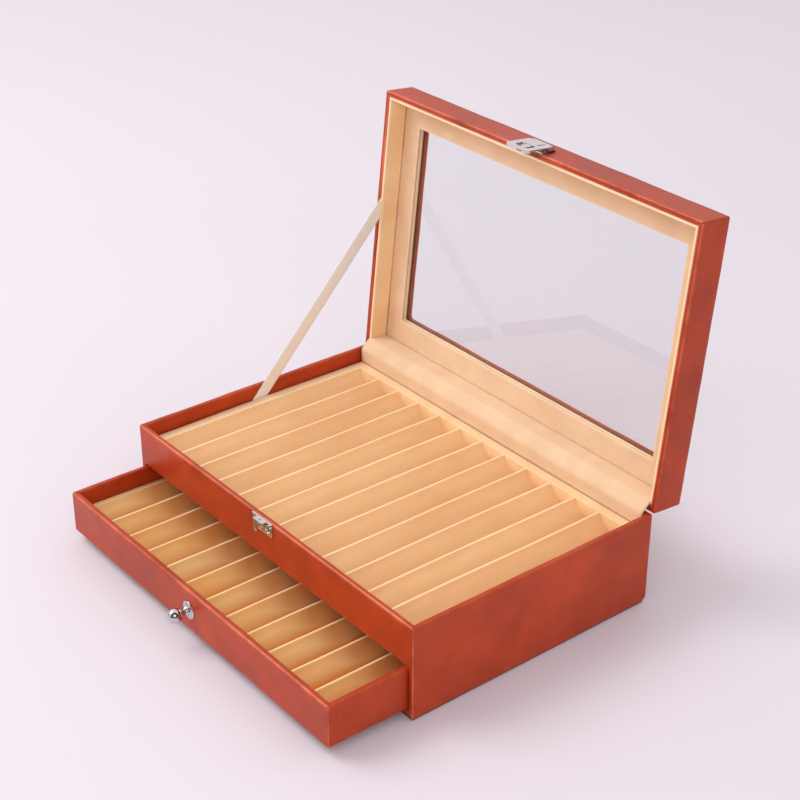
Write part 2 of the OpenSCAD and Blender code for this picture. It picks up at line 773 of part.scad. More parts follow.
// The flap: a plate with a rounded free end turned in, a window with a tongue, a slit and a knuckle
module latch_flap() {
    plate_y = front_y - flap_off - flap_t;
    free_z = latch_pin_up - flap_len;
    wing_z = latch_pin_up - flap_knuckle_r - 0.8;
    t = flap_t;
    h = flap_w / 2;
    k = cheek_x - cheek_gap;
    window_h = hook_w / 2 + flap_window_gap;
    r = flap_window_r;
    e = flap_corner_r;
    lip = flap_t + flap_lip;
    color("silver") on_lid() difference() {
        union() {
            translate([0, plate_y + t / 2, 0]) upright_xz(t) difference() {
                union() {
                    corner_rect(-h, free_z, h, wing_z, [e, e, 0.8, 0.8]);
                    translate([-k, wing_z - 1]) square([2 * k, latch_pin_up - wing_z + 1]);
                }
                difference() {
                    corner_rect(hook_off - window_h, flap_window_low, hook_off + window_h, flap_window_top, [r, r, r, r]);
                    corner_rect(tongue_x, flap_window_low - 1, tongue_x + tongue_w, flap_window_low + tongue_h,
                        [0.1, 0.1, 1, 1]);
                }
                translate([slit_x, flap_window_top + 0.9]) square([slit_w, wing_z - flap_window_top - 1.4]);
            }
            translate([0, plate_y + lip / 2, 0]) upright_xz(lip) difference() {
                corner_rect(-h, free_z, h, free_z + e + 0.5, [e, e, 0.1, 0.1]);
                corner_rect(-h + t, free_z + t, h - t, free_z + e + 1, [e - t, e - t, 0.1, 0.1]);
            }
            latch_axis(2 * k) cylinder(r = flap_knuckle_r, h = 2 * k);
        }
        latch_axis(2 * k + 2 * cut) cylinder(r = latch_pin_r + run_gap, h = 2 * k + 2 * cut);
        translate([lip_hole_x, plate_y + 0.8 * t, free_z - cut]) cube([lip_hole_w, flap_lip - 0.4, t + 2 * cut]);
    }
}

// The catch: a plate with a top flange, a hook bent down at its front, and a ring, all of one sheet
module catch_bracket() {
    low = catch_top - catch_h;
    color("silver") difference() {
        union() {
            translate([-catch_w / 2, front_y - sheet_t, low]) cube([catch_w, sheet_t, catch_h]);
            translate([-catch_w / 2, front_y - catch_d, catch_top - sheet_t])
                cube([catch_w, catch_d, sheet_t]);
            translate([hook_off - hook_w / 2, front_y - hook_reach, catch_top - sheet_t])
                cube([hook_w, hook_reach, sheet_t]);
            translate([hook_off - hook_w / 2, front_y - hook_reach, catch_top - hook_h])
                cube([hook_plate_w, sheet_t, hook_h]);
            translate([stud_x, front_y - catch_d, stud_z]) rotate([-90, 0, 0])
                cylinder(r = stud_ring_r, h = catch_d);
        }
        translate([stud_x, front_y - catch_d - cut, stud_z]) rotate([-90, 0, 0])
            cylinder(r = stud_ring_r - sheet_t, h = catch_d + cut - sheet_t);
        translate([stud_x, front_y - catch_d, stud_z]) rotate([-90, 0, 0])
            cylinder(r = rivet_r, h = catch_d + cut);
        catch_rivet_places() translate([0, 0, -2 * sheet_t]) cylinder(r = rivet_r, h = 3 * sheet_t);
        translate([hook_off, front_y - hook_reach / 2 - 0.4, catch_top - sheet_t - cut])
            cylinder(r = 0.7, h = sheet_t + 2 * cut);
    }
}

module catch_stud() {
    color("silver") translate([stud_x, front_y - sheet_t, stud_z]) rotate([90, 0, 0]) {
        difference() {
            translate([0, 0, stud_up]) sphere(stud_r);
            translate([-2 * stud_r, -2 * stud_r, -4 * stud_r]) cube(4 * stud_r);
        }
        translate([0, 0, -sheet_t]) cylinder(r = rivet_r, h = sheet_t + stud_up);
    }
}

module catch_rivets() {
    color("gray") catch_rivet_places() {
        cylinder(r = rivet_r, h = rivet_len);
        translate([0, 0, -sheet_t]) cylinder(r = rivet_r, h = sheet_t);
        translate([0, 0, -sheet_t - 0.6]) cylinder(r = rivet_head_r, h = 0.6);
    }
}

// ---- drawer ----

module drawer_board(side) {
    r = drawer_edge_r;
    color("#b4472c") intersection() {
        ring_board(side, drawer_w, 0, drawer_d, side_t, front_t, side_t, 0, drawer_h, [0, 0, r, r]);
        linear_extrude(drawer_h) corner_rect(-drawer_w / 2, 0, drawer_w / 2, drawer_d, [r, r, r, r]);
    }
}

module drawer_front() {
    on_drawer() difference() {
        drawer_board(0);
        translate([0, 0, knob_z]) rotate([-90, 0, 0]) {
            translate([0, 0, -cut]) cylinder(r = knob_screw_r, h = front_t + 2 * cut);
            translate([0, 0, front_t - knob_head_t]) cylinder(r = knob_head_r + touch, h = knob_head_t + cut);
        }
    }
}

module drawer_left_side() { on_drawer() drawer_board(3); }

module drawer_right_side() { on_drawer() drawer_board(1); }

module drawer_back() { on_drawer() drawer_board(2); }

module drawer_bottom() {
    color("#7d3324") on_drawer() translate([-drawer_w / 2 + side_t, front_t, 0])
        cube([drawer_w - 2 * side_t, drawer_d - front_t - side_t, bottom_t]);
}

module drawer_insert() {
    color("#eec08f") on_drawer() translate([0, front_t + insert_gap, bottom_t + touch])
        slot_insert(drawer_insert_w, drawer_insert_d);
}

module drawer_glides() {
    color("#4a4340") on_drawer()
        for (x = [-drawer_w / 2 + glide_inset, drawer_w / 2 - glide_inset - glide_w])
            translate([x, front_t, -glide_t]) cube([glide_w, drawer_d - 2 * front_t, glide_t]);
}

// The knob's axis points out of the drawer's front
module on_knob() {
    on_drawer() translate([0, 0, knob_z]) rotate([90, 0, 0]) children();
}

module knob() {
    color("silver") on_knob() difference() {
        union() {
            translate([0, 0, knob_reach]) sphere(knob_r);
            translate([0, 0, rose_t]) cylinder(r = neck_r, h = knob_reach - rose_t);
        }
        translate([0, 0, rose_t - cut]) cylinder(r = knob_screw_r, h = knob_reach - rose_t);
    }
}

// A round plate with a bevelled edge
module knob_rose() {
    color("silver") on_knob() difference() {
        union() {
            cylinder(r = rose_r, h = rose_t / 2);
            translate([0, 0, rose_t / 2]) cylinder(r1 = rose_r, r2 = rose_r - rose_t, h = rose_t / 2);
        }
        translate([0, 0, -cut]) cylinder(r = knob_screw_r, h = rose_t + 2 * cut);
    }
}

module knob_screw() {
    color("gray") on_knob() {
        translate([0, 0, -front_t]) cylinder(r = knob_head_r, h = knob_head_t);
        translate([0, 0, -front_t]) cylinder(r = knob_screw_r, h = front_t + knob_reach - cut);
    }
}

base_board();
case_floor();
case_left_wall();
case_right_wall();
case_back_wall();
case_front_rail();
drawer_shelf();
tray_insert();
back_lining();
hinge_strip();
stay_ribbon();
case_hinge_leaf_left();
case_hinge_leaf_right();
case_hinge_screws();
hinge_pin_left();
hinge_pin_right();
catch_bracket();
catch_stud();
catch_rivets();
lid_left_wall();
lid_right_wall();
lid_front_wall();
lid_back_wall();
lid_top_frame();
lid_liner_left();
lid_liner_right();
lid_liner_front();
lid_liner_back();
lid_inner_panel();
glazing_frame();
glass_pane();
lid_hinge_lining();
lid_hinge_leaf_left();
lid_hinge_leaf_right();
lid_hinge_screws();
latch_bracket();
latch_pin();
latch_rivets();
latch_flap();
drawer_front();
drawer_left_side();
drawer_right_side();
drawer_back();
drawer_bottom();
drawer_insert();
drawer_glides();
knob();
knob_rose();
knob_screw();
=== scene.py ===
"""Pen display chest: leather, suede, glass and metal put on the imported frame. Sizes in the
sections are in millimetres, and each mesh is written in metres. X runs to the right, Y to the
back and Z up, and the lid stands open."""
import bmesh
import bpy
import math
import numpy as np
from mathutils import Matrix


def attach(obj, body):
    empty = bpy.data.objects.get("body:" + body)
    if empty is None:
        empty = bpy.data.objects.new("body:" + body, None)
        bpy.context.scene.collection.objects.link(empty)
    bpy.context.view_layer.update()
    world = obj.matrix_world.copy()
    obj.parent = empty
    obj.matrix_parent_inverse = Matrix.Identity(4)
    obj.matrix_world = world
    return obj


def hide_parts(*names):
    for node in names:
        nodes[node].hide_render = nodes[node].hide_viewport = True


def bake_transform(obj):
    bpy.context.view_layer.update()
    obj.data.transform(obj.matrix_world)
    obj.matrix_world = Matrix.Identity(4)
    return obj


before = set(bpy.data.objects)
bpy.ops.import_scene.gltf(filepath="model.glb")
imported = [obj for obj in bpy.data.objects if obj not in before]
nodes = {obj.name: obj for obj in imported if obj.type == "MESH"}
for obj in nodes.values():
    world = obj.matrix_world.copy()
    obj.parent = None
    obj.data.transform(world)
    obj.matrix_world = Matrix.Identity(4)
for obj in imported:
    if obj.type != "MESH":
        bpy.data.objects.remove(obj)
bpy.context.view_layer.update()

# ---- Camera ----
# Stands in front and to the right of the chest, a little over a metre away, and looks down into
# the open tray. Its long lens keeps the upright edges nearly parallel.
eye = bpy.data.cameras.new("eye")
eye.lens = 77.44
eye.sensor_width = 36
camera = bpy.data.objects.new("camera", eye)
camera.location = (0.81558, -0.64260, 0.70234)
camera.rotation_euler = (1.064288, -0.004130, 0.895496)
bpy.context.scene.collection.objects.link(camera)
bpy.context.scene.camera = camera
bpy.context.scene.view_settings.view_transform = "Standard"


# ---- Table top and light ----
# A wide pale sheet of paper under the chest, lit by one big soft lamp from the left, a weaker
# one from the right and a pale room all round.
def feed(tree, node, inputs):
    """Sets a node's inputs, by name or number, to values or to the sockets that feed them."""
    for key, value in inputs.items():
        if isinstance(value, bpy.types.NodeSocket):
            tree.links.new(value, node.inputs[key])
        else:
            node.inputs[key].default_value = value


def put(tree, kind, inputs=None, **settings):
    """Adds a shader node of a kind, with its settings and its inputs."""
    node = tree.nodes.new("ShaderNode" + kind)
    for name, value in settings.items():
        setattr(node, name, value)
    feed(tree, node, inputs or {})
    return node


def noise(tree, place, scale, detail=2.0, **others):
    """Soft noise between 0 and 1 at a place."""
    inputs = {"Vector": place, "Scale": scale, "Detail": detail, **others}
    return put(tree, "TexNoise", inputs).outputs["Fac"]


def mixed(tree, share, first, second):
    """A colour between two, nearer the second as the share grows from 0 to 1."""
    return put(tree, "MixRGB", {"Fac": share, "Color1": first, "Color2": second}).outputs[0]


def maths(tree, operation, *values):
    """A sum, product or other result of two or three values."""
    return put(tree, "Math", dict(enumerate(values)), operation=operation).outputs[0]


def ranged(tree, value, low, high, to_low=0.0, to_high=1.0):
    """Stretches the values from low to high over the new range, and stops at its ends."""
    inputs = {"Value": value, "From Min": low, "From Max": high, "To Min": to_low, "To Max": to_high}
    return put(tree, "MapRange", inputs).outputs[0]


def material(name):
    """A new material with an empty tree, its Principled shader and its output."""
    made = bpy.data.materials.new(name)
    made.use_nodes = True
    tree = made.node_tree
    tree.nodes.clear()
    shader = put(tree, "BsdfPrincipled")
    put(tree, "OutputMaterial", {"Surface": shader.outputs[0]})
    return made, tree, shader


paper, tree, shader = material("paper")
where = put(tree, "TexCoord").outputs["Object"]
feed(tree, shader, {
    "Base Color": mixed(tree, noise(tree, where, 1.1), (0.775, 0.715, 0.775, 1), (0.825, 0.765, 0.825, 1)),
    "Roughness": 0.6,
    "Specular IOR Level": 0.2})
sheet_half = 6.0      # metres
sheet_z = -0.0002
ground = bpy.data.meshes.new("paper_sheet")
square = ((-1, -1), (1, -1), (1, 1), (-1, 1))
ground.from_pydata([(x * sheet_half, y * sheet_half, sheet_z) for x, y in square], [], [(0, 1, 2, 3)])
ground.materials.append(paper)
floor = bpy.data.objects.new("paper_sheet", ground)
bpy.context.scene.collection.objects.link(floor)

lit_spot = (0.0, 0.0, 0.1)
for name, place, size, power in (("key_lamp", (-1.35, -1.15, 2.0), 1.5, 30.0),
                                 ("side_lamp", (1.9, -1.3, 1.7), 1.6, 11.0)):
    lamp = bpy.data.lights.new(name, "AREA")
    lamp.size = size
    lamp.energy = power
    holder = bpy.data.objects.new(name, lamp)
    holder.location = place
    look = np.array(lit_spot) - np.array(place)
    tilt = math.acos(-look[2] / np.linalg.norm(look))
    holder.rotation_euler = (tilt, 0, math.atan2(look[1], look[0]) - math.pi / 2)
    bpy.context.scene.collection.objects.link(holder)

# The room fills the shadows evenly. Only reflections see its two dark parts, a band at the
# horizon and a patch high on the right, so that polished metal shows some contrast.
room = bpy.data.worlds.new("room")
room.use_nodes = True
tree = room.node_tree
tree.nodes.clear()
rays = put(tree, "LightPath").outputs
seen = maths(tree, "MAXIMUM", rays["Is Camera Ray"], rays["Is Glossy Ray"])
seen = maths(tree, "MAXIMUM", seen, rays["Is Transmission Ray"])
heading = put(tree, "TexCoord").outputs["Generated"]
height = put(tree, "SeparateXYZ", {0: heading}).outputs["Z"]
off_band = maths(tree, "MAXIMUM", ranged(tree, height, 0.09, 0.18), ranged(tree, height, -0.01, -0.05))
patch = put(tree, "VectorMath", {0: heading, 1: (0.75, -0.45, 0.48)}, operation="DOT_PRODUCT")
off_patch = ranged(tree, patch.outputs["Value"], 0.62, 0.48)
off_both = maths(tree, "MINIMUM", off_band, off_patch)
shown = mixed(tree, off_both, (0.10, 0.085, 0.085, 1), (0.98, 0.93, 0.96, 1))
fill = put(tree, "Background", {"Color": (1.0, 0.97, 0.98, 1), "Strength": 0.76})
plain = put(tree, "Background", {"Color": (0.86, 0.79, 0.84, 1), "Strength": 1.0})
mirrored = put(tree, "Background", {"Color": shown, "Strength": 1.0})
beyond = put(tree, "MixShader", {0: rays["Is Glossy Ray"], 1: plain.outputs[0], 2: mirrored.outputs[0]})
both = put(tree, "MixShader", {0: seen, 1: fill.outputs[0], 2: beyond.outputs[0]})
put(tree, "OutputWorld", {"Surface": both.outputs[0]})
bpy.context.scene.world = room


# ---- Case leather ----
# One sheet of smooth red-brown leather glued over the case boards, turned in over the rim,
# mitred at the rim's corners and cut round the drawer opening.
half_w = 160        # outside of the side walls
half_d = 104        # outside of the front wall, which faces -Y
back_y = 105        # outside of the back wall
board = 4           # thickness of the walls and the front
back_share = 1.25   # the back wall is thicker, as its hinges need the room
fold_r = 1.5        # upright corners
foot_z = 1.0        # lower edge of the walls, beside the bottom cover
base_z = 2.5        # top of the bottom cover
rim_z = 71.7
rim_r = 1.2         # rounded edges of the rim
waves = 0.10        # unevenness of hand-laid leather


def group(name, ins, outs):
    """A new shader group with the named float or vector sockets, its inputs and its end node."""
    made = bpy.data.node_groups.new(name, "ShaderNodeTree")
    for label, kind in ins:
        made.interface.new_socket(name=label, in_out="INPUT", socket_type="NodeSocket" + kind)
    for label, kind in outs:
        made.interface.new_socket(name=label, in_out="OUTPUT", socket_type="NodeSocket" + kind)
    return made, made.nodes.new("NodeGroupInput").outputs, made.nodes.new("NodeGroupOutput")


# Leather surface: cloudy dye, rubbed streaks, a pebble of grain and small pores.
hide, ends, out = group("hide", [("Vector", "Vector"), ("Cloud Scale", "Float"), ("Grain Scale", "Float")],
                        [("Dye", "Float"), ("Height", "Float"), ("Polish", "Float")])
place, cloud_scale, grain_scale = ends["Vector"], ends["Cloud Scale"], ends["Grain Scale"]
cloud = noise(hide, place, cloud_scale, 5.0, Roughness=0.6)
broad = noise(hide, place, maths(hide, "MULTIPLY", cloud_scale, 0.28))
drawn = put(hide, "Mapping", {"Vector": place, "Scale": (1.0, 1.0, 0.22)}).outputs[0]
streak = noise(hide, drawn, maths(hide, "MULTIPLY", cloud_scale, 4.2))
dye = maths(hide, "MULTIPLY_ADD", streak, 0.32, maths(hide, "ADD", cloud, broad))
pebble = put(hide, "TexVoronoi", {"Vector": place, "Scale": grain_scale}, feature="SMOOTH_F1")
pores = noise(hide, place, maths(hide, "MULTIPLY", grain_scale, 2.6), 0.0)
feed(hide, out, {
    "Dye": ranged(hide, dye, 0.84, 1.50),
    "Height": maths(hide, "ADD", pebble.outputs["Distance"], pores),
    "Polish": ranged(hide, maths(hide, "ADD", cloud, streak), 0.75, 1.25, 0.31, 0.42)})


def mark(tree, name):
    """One of the marks that a mesh carries on its points: edges, which are wear and painted highlight;
    joints, which are dark joints and painted shade; or painted shade in slots.
    """
    return put(tree, "Attribute", attribute_name=name).outputs["Fac"]


def leather_finish(name, deep, full, rubbed_and_lit):
    """Leather in three dyes: deep in the clouds, full between them, and on turned edges a third
    that is partly rubbed wear and partly painted highlight.
    """
    made, tree, shader = material(name)
    where = put(tree, "TexCoord").outputs["Object"]
    skin = put(tree, "Group", {"Vector": where, "Cloud Scale": 42.0, "Grain Scale": 620.0},
               node_tree=hide).outputs
    # The edge mark moves turned edges toward the third dye: partly rubbed wear, partly a painted highlight.
    edge = mark(tree, "edge")
    rub_and_highlight = ranged(tree, maths(tree, "MULTIPLY", edge, skin["Dye"]), 0.05, 0.75, 0.0, 0.85)
    colour = mixed(tree, rub_and_highlight, mixed(tree, skin["Dye"], deep, full), rubbed_and_lit)
    # The joint mark darkens the leather: dark joints at the mitres, and painted shade at the case's foot,
    # inside the drawer opening, under the latch and along the lid's top and window.
    dark = maths(tree, "MULTIPLY", mark(tree, "joints_and_shade"), 0.72)
    grain = put(tree, "Bump", {"Height": skin["Height"], "Strength": 0.20, "Distance": 0.00025})
    feed(tree, shader, {
        "Base Color": mixed(tree, dark, colour, (0.06, 0.008, 0.004, 1)),
        "Roughness": maths(tree, "MULTIPLY_ADD", edge, -0.03, skin["Polish"]),
        "Normal": grain.outputs[0],
        "Specular IOR Level": 0.55,
        "Specular Tint": (1.0, 0.55, 0.36, 1)})
    return made


leather = leather_finish("leather", (0.33, 0.027, 0.006, 1), (0.53, 0.054, 0.012, 1), (0.80, 0.25, 0.15, 1))


def shaped(name, grids, finish):
    """One mesh from several grids of points. A grid is (points, wrap, flip, marks): points is rows
    by columns by 3, wrap joins its last column to its first, flip turns its faces over, and marks
    maps a mark's name to one value a point. Points that meet are merged."""
    points, faces, marks, start = [], [], {"edge": [], "joints_and_shade": [], "painted_shade": []}, 0
    for grid, wrap, flip, given in grids:
        rows, cols = grid.shape[:2]
        index = start + np.arange(rows * cols).reshape(rows, cols)
        right = np.roll(index, -1, axis=1) if wrap else index[:, 1:]
        left = index if wrap else index[:, :-1]
        quads = np.stack([left[:-1], right[:-1], right[1:], left[1:]], -1).reshape(-1, 4)
        faces.append(quads[:, ::-1] if flip else quads)
        points.append(grid.reshape(-1, 3))
        for key in marks:
            marks[key].append(np.broadcast_to(given.get(key, 0.0), (rows, cols)).ravel())
        start += rows * cols
    points, faces = np.concatenate(points) * 0.001, np.concatenate(faces)
    mesh = bpy.data.meshes.new(name)
    mesh.vertices.add(len(points))
    mesh.vertices.foreach_set("co", points.ravel())
    mesh.loops.add(faces.size)
    mesh.loops.foreach_set("vertex_index", faces.ravel())
    mesh.polygons.add(len(faces))
    mesh.polygons.foreach_set("loop_start", np.arange(0, faces.size, 4))
    mesh.update(calc_edges=True)
    for key, values in marks.items():
        layer = mesh.attributes.new(key, "FLOAT", "POINT")
        layer.data.foreach_set("value", np.concatenate(values).astype(np.float32))
    work = bmesh.new()
    work.from_mesh(mesh)
    bmesh.ops.remove_doubles(work, verts=work.verts, dist=2e-6)
    bmesh.ops.dissolve_degenerate(work, edges=work.edges, dist=1e-7)
    for face in work.faces:
        face.smooth = True
    work.to_mesh(mesh)
    work.free()
    mesh.materials.append(finish)
    made = bpy.data.objects.new(name, mesh)
    bpy.context.scene.collection.objects.link(made)
    return made


# A ring of points runs round the box: its corners, short sides and long sides have a fixed number
# of points each, so rings of all sizes join up and a column keeps its place on every ring.
corner_cols, short_cols, long_cols = 7, 70, 100
around = 4 * corner_cols + 2 * (short_cols + long_cols)
front_start = around - long_cols
right_side = slice(corner_cols, corner_cols + short_cols)
mitres = [corner_cols * k + corner_cols // 2 + before for k, before in enumerate(
    (0, short_cols, short_cols + long_cols, 2 * short_cols + long_cols))]


def side_stops(length, count):
    """Distances along one side: close together near both corners, even between them."""
    near = np.array([0.35, 0.8, 1.5, 2.6, 4.2, 6.5])
    even = np.linspace(near[-1], length - near[-1], count - 2 * len(near) + 2)[1:-1]
    return np.concatenate([near, even, length - near[::-1]])


def ring(x0, y0, x1, y1, r, z):
    """A rounded rectangle at height z, anticlockwise seen from above, from its front right corner:
    a quarter circle at each corner, and side_stops between them. The front side comes last."""
    turn = np.linspace(0, math.pi / 2, corner_cols)
    parts = []
    for k, (cx, cy) in enumerate(((x1 - r, y0 + r), (x1 - r, y1 - r), (x0 + r, y1 - r), (x0 + r, y0 + r))):
        angle = turn + (k - 1) * math.pi / 2
        parts.append(np.stack([cx + r * np.cos(angle), cy + r * np.sin(angle)], -1))
        length, count = ((y1 - y0, short_cols), (x1 - x0, long_cols))[k % 2]
        heading = np.array([math.cos((k + 1) * math.pi / 2), math.sin((k + 1) * math.pi / 2)])
        parts.append(parts[-1][-1] + side_stops(length - 2 * r, count)[:, None] * heading)
    return np.pad(np.concatenate(parts), ((0, 0), (0, 1)), constant_values=z)


def uneven(grid, amount):
    """Hand-laid unevenness: each point moves along the surface's own normal by waves of its place.
    They are the product of two slow ones, 80 to 180 mm long, a weaker one of about 60 mm and a
    fine one of about 25 mm."""
    normal = np.cross(np.gradient(grid, axis=1), np.gradient(grid, axis=0))
    size = np.linalg.norm(normal, axis=-1, keepdims=True)
    normal = np.where(size > 1e-9, normal / np.maximum(size, 1e-9), 0)
    x, y, z = grid[..., 0], grid[..., 1], grid[..., 2]
    wave = (np.sin(x / 17 + 1.7 * np.sin(y / 29)) * np.cos(z / 13 + y / 21 + 0.6)
            + 0.6 * np.sin(x / 9.7 - y / 11 + z / 7.3) + 0.35 * np.sin(y / 4.1 + x / 5.3 + z / 3.7))
    return grid + normal * (amount * wave)[..., None]


def quarter(cs, cz, r, start, count=6):
    """A quarter circle in a wall's cross-section, as (depth from outside, height) pairs."""
    angle = np.radians(start) + np.linspace(0, math.pi / 2, count)
    return np.stack([cs + r * np.cos(angle), cz + r * np.sin(angle)], -1)


def wall_ring(profile, plan, corner, front=1.0, back=1.0):
    """Carries a wall's cross-section round a plan (left, front, right, back). A profile point
    (s, z) makes a ring that lies s inside the plan; front and back stretch s there. Corners
    shrink with s."""
    x0, y0, x1, y1 = plan
    return np.stack([ring(x0 + s, y0 + s * front, x1 - s, y1 - s * back, max(corner - s, 0.03), z)
                     for s, z in profile])


def rounded(grid, cy, cz, r, sy, sz):
    """Rounds a long edge that runs along X: points past the centre (cy, cz) in the directions
    sy and sz are drawn in until they are no further than r from it."""
    dy, dz = (grid[..., 1] - cy) * sy, (grid[..., 2] - cz) * sz
    far = np.hypot(dy, dz)
    pull = np.where((dy > 0) & (dz > 0) & (far > r), r / np.maximum(far, 1e-6), 1.0)
    made = grid.copy()
    made[..., 1] = np.where(pull < 1, cy + sy * dy * pull, grid[..., 1])
    made[..., 2] = np.where(pull < 1, cz + sz * dz * pull, grid[..., 2])
    return made


def rim_marks(profile, r):
    """Marks for a turned rim. Edge, partly rubbed wear and partly painted highlight, is 1 on its outer
    rounded edge and a third of that on its inner one, with a painted highlight line up each upright
    corner. It is fainter along the right side, whose painted highlight is weaker as less light falls
    there. The joint mark lies along the corner mitres: a crease on the outer edge that widens where
    the leather is folded in."""
    s, z = profile[:, 0], profile[:, 1]
    top = np.max(z)
    to_outer = np.hypot(s, z - top)
    near = np.minimum(to_outer, np.hypot(s - board, z - top))
    edge = np.clip(1.25 - near / r, 0, 1) * np.where(to_outer < board / 2, 1, 0.35)
    edge = edge[:, None] * np.ones(around)
    joints_and_shade = np.zeros((len(s), around))
    flat = z > top - r * 0.95
    for column in mitres:
        for step in range(-4, 5):
            starts = 0.15 if abs(step) < 2 else 1.4
            joints_and_shade[flat & (s > starts), (column + step) % around] = 0.9
        edge[s < 0.05, column - 1:column + 2] = 0.65
    edge[:, right_side] *= 0.35
    return {"edge": edge, "joints_and_shade": joints_and_shade}


# The walls, from their lower edge up the outside, over the rim and down the inside. Below split_z
# the front is left open, for a sheet of its own.
split_z = 45
case_profile = np.concatenate([
    quarter(0.9, foot_z + 0.9, 0.9, -180)[::-1],
    [[0, z] for z in np.linspace(foot_z + 0.9, split_z, 14)[1:]],
    [[0, z] for z in np.linspace(split_z, rim_z - rim_r, 9)[1:-1]],
    quarter(rim_r, rim_z - rim_r, rim_r, 90)[::-1],
    [[1.6, rim_z - 0.08], [2.0, rim_z - 0.12], [2.4, rim_z - 0.08]],
    quarter(board - rim_r, rim_z - rim_r, rim_r, 0)[::-1],
    [[board, z] for z in (66, 62, 56, split_z, 20, base_z)],
    [[0.9, base_z]]])
outer_split = 18    # the profile's points at split_z, outside and inside
inner_split = -4
back_r = 4
walls = wall_ring(case_profile, (-half_w, -half_d, half_w, back_y), fold_r, back=back_share)
walls = uneven(rounded(walls, back_y - back_r, 6.5, back_r, 1, -1), waves)
wall_marks = rim_marks(case_profile, rim_r)
# Painted shade along the leather's lower edge, next to the table.
wall_marks["joints_and_shade"][case_profile[:, 1] < 1.75] = 0.8
below_marks = {key: value[:outer_split + 1, :front_start] for key, value in wall_marks.items()}
above_marks = {key: value[outer_split:inner_split + 1] for key, value in wall_marks.items()}

# The front sheet has the drawer opening. Its rows run from the sheet's outline in to the opening,
# roll over the opening's edge and go through the board, and the last one runs up its inside.
jamb_x, head_z, head_r = 156, 40.3, 3.5
outline_x = 158.5
edge_r = 1.0
corner_x, corner_z = jamb_x - head_r, head_z - head_r
jamb = np.linspace(base_z, corner_z, 12)
bend = np.radians(np.linspace(180, 90, 9))[1:]
bend_out = np.stack([np.cos(bend), np.sin(bend)], -1)
head = np.linspace(-corner_x, corner_x, 70)[1:-1]


def beside(left, middle):
    """A left half of (x, z) pairs, a middle, and the left half mirrored."""
    return np.concatenate([left, middle, left[::-1] * [-1, 1]])


def level(xs, z):
    """The (x, z) pairs of a row of xs at one height."""
    return np.stack([xs, np.full(len(xs), z)], -1)


def upright(x, zs):
    """The (x, z) pairs of a column of zs at one x."""
    return np.stack([np.full(len(zs), x), zs], -1)


opening = beside(np.concatenate([upright(-jamb_x, jamb), [-corner_x, corner_z] + head_r * bend_out]),
                 level(head, head_z))
away = beside(np.concatenate([np.tile([-1.0, 0.0], (len(jamb), 1)), bend_out]),
              np.tile([0.0, 1.0], (len(head), 1)))
outline = beside(np.concatenate([upright(-outline_x, jamb),
                                 upright(-outline_x, np.linspace(corner_z, split_z, 5)[1:]),
                                 level(np.linspace(-outline_x, -corner_x, 5)[1:], split_z)]),
                 level(head, split_z))
rows = [np.insert(outline + (opening + edge_r * away - outline) * t, 1, -half_d, axis=1)
        for t in np.linspace(0, 1, 6)]
for turn in np.radians([18, 36, 54, 72, 90]):
    lip_y = -half_d + edge_r * (1 - math.cos(turn))
    rows.append(np.insert(opening + edge_r * away * (1 - math.sin(turn)), 1, lip_y, axis=1))
behind = opening.copy()
behind[opening[:, 1] > corner_z + 0.1, 1] = split_z
rows += [np.insert(opening, 1, -half_d + board, axis=1), np.insert(behind, 1, -half_d + board, axis=1)]
front = uneven(np.stack(rows), -waves)
row_number = np.arange(len(rows))[:, None]
# The edge mark lightens the opening's rounded edge, partly as wear and partly as a painted highlight. The
# joint mark paints shade from the opening's edge into the board and up its inside.
front_marks = {"edge": np.interp(row_number, [4, 6, 7, 8], [0, 0.5, 0.3, 0]),
               "joints_and_shade": np.interp(row_number, [6, 8, 12], [0, 0.9, 1])}

case_leather = shaped("case_leather", [
    (walls[:outer_split + 1, :front_start], False, False, below_marks),
    (walls[outer_split:inner_split + 1], True, False, above_marks),
    (walls[inner_split:, :front_start], False, False, {}),
    (walls[[-1, 0], :front_start], False, False, {}),
    (front, False, True, front_marks)], leather)
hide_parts("case_left_wall", "case_right_wall", "case_back_wall", "case_front_rail")
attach(case_leather, "case")


# ---- Case floor, shelf and bottom cover ----
# Plain boards: the floor's front edge and the shelf carry the same leather, and the cover under
# the box is dark grained paper.
def refinish(name, finish):
    """Gives a frame part its finish."""
    nodes[name].data.materials.clear()
    nodes[name].data.materials.append(finish)


cover, tree, shader = material("bottom_cover")
where = put(tree, "TexCoord").outputs["Object"]
skin = put(tree, "Group", {"Vector": where, "Cloud Scale": 60.0, "Grain Scale": 900.0},
           node_tree=hide).outputs
grain = put(tree, "Bump", {"Height": skin["Height"], "Strength": 0.4, "Distance": 0.0003})
feed(tree, shader, {
    "Base Color": mixed(tree, skin["Dye"], (0.06, 0.010, 0.005, 1), (0.17, 0.026, 0.012, 1)),
    "Normal": grain.outputs[0],
    "Roughness": 0.7})
refinish("base_board", cover)
for name in ("case_floor", "drawer_shelf"):
    refinish(name, leather)


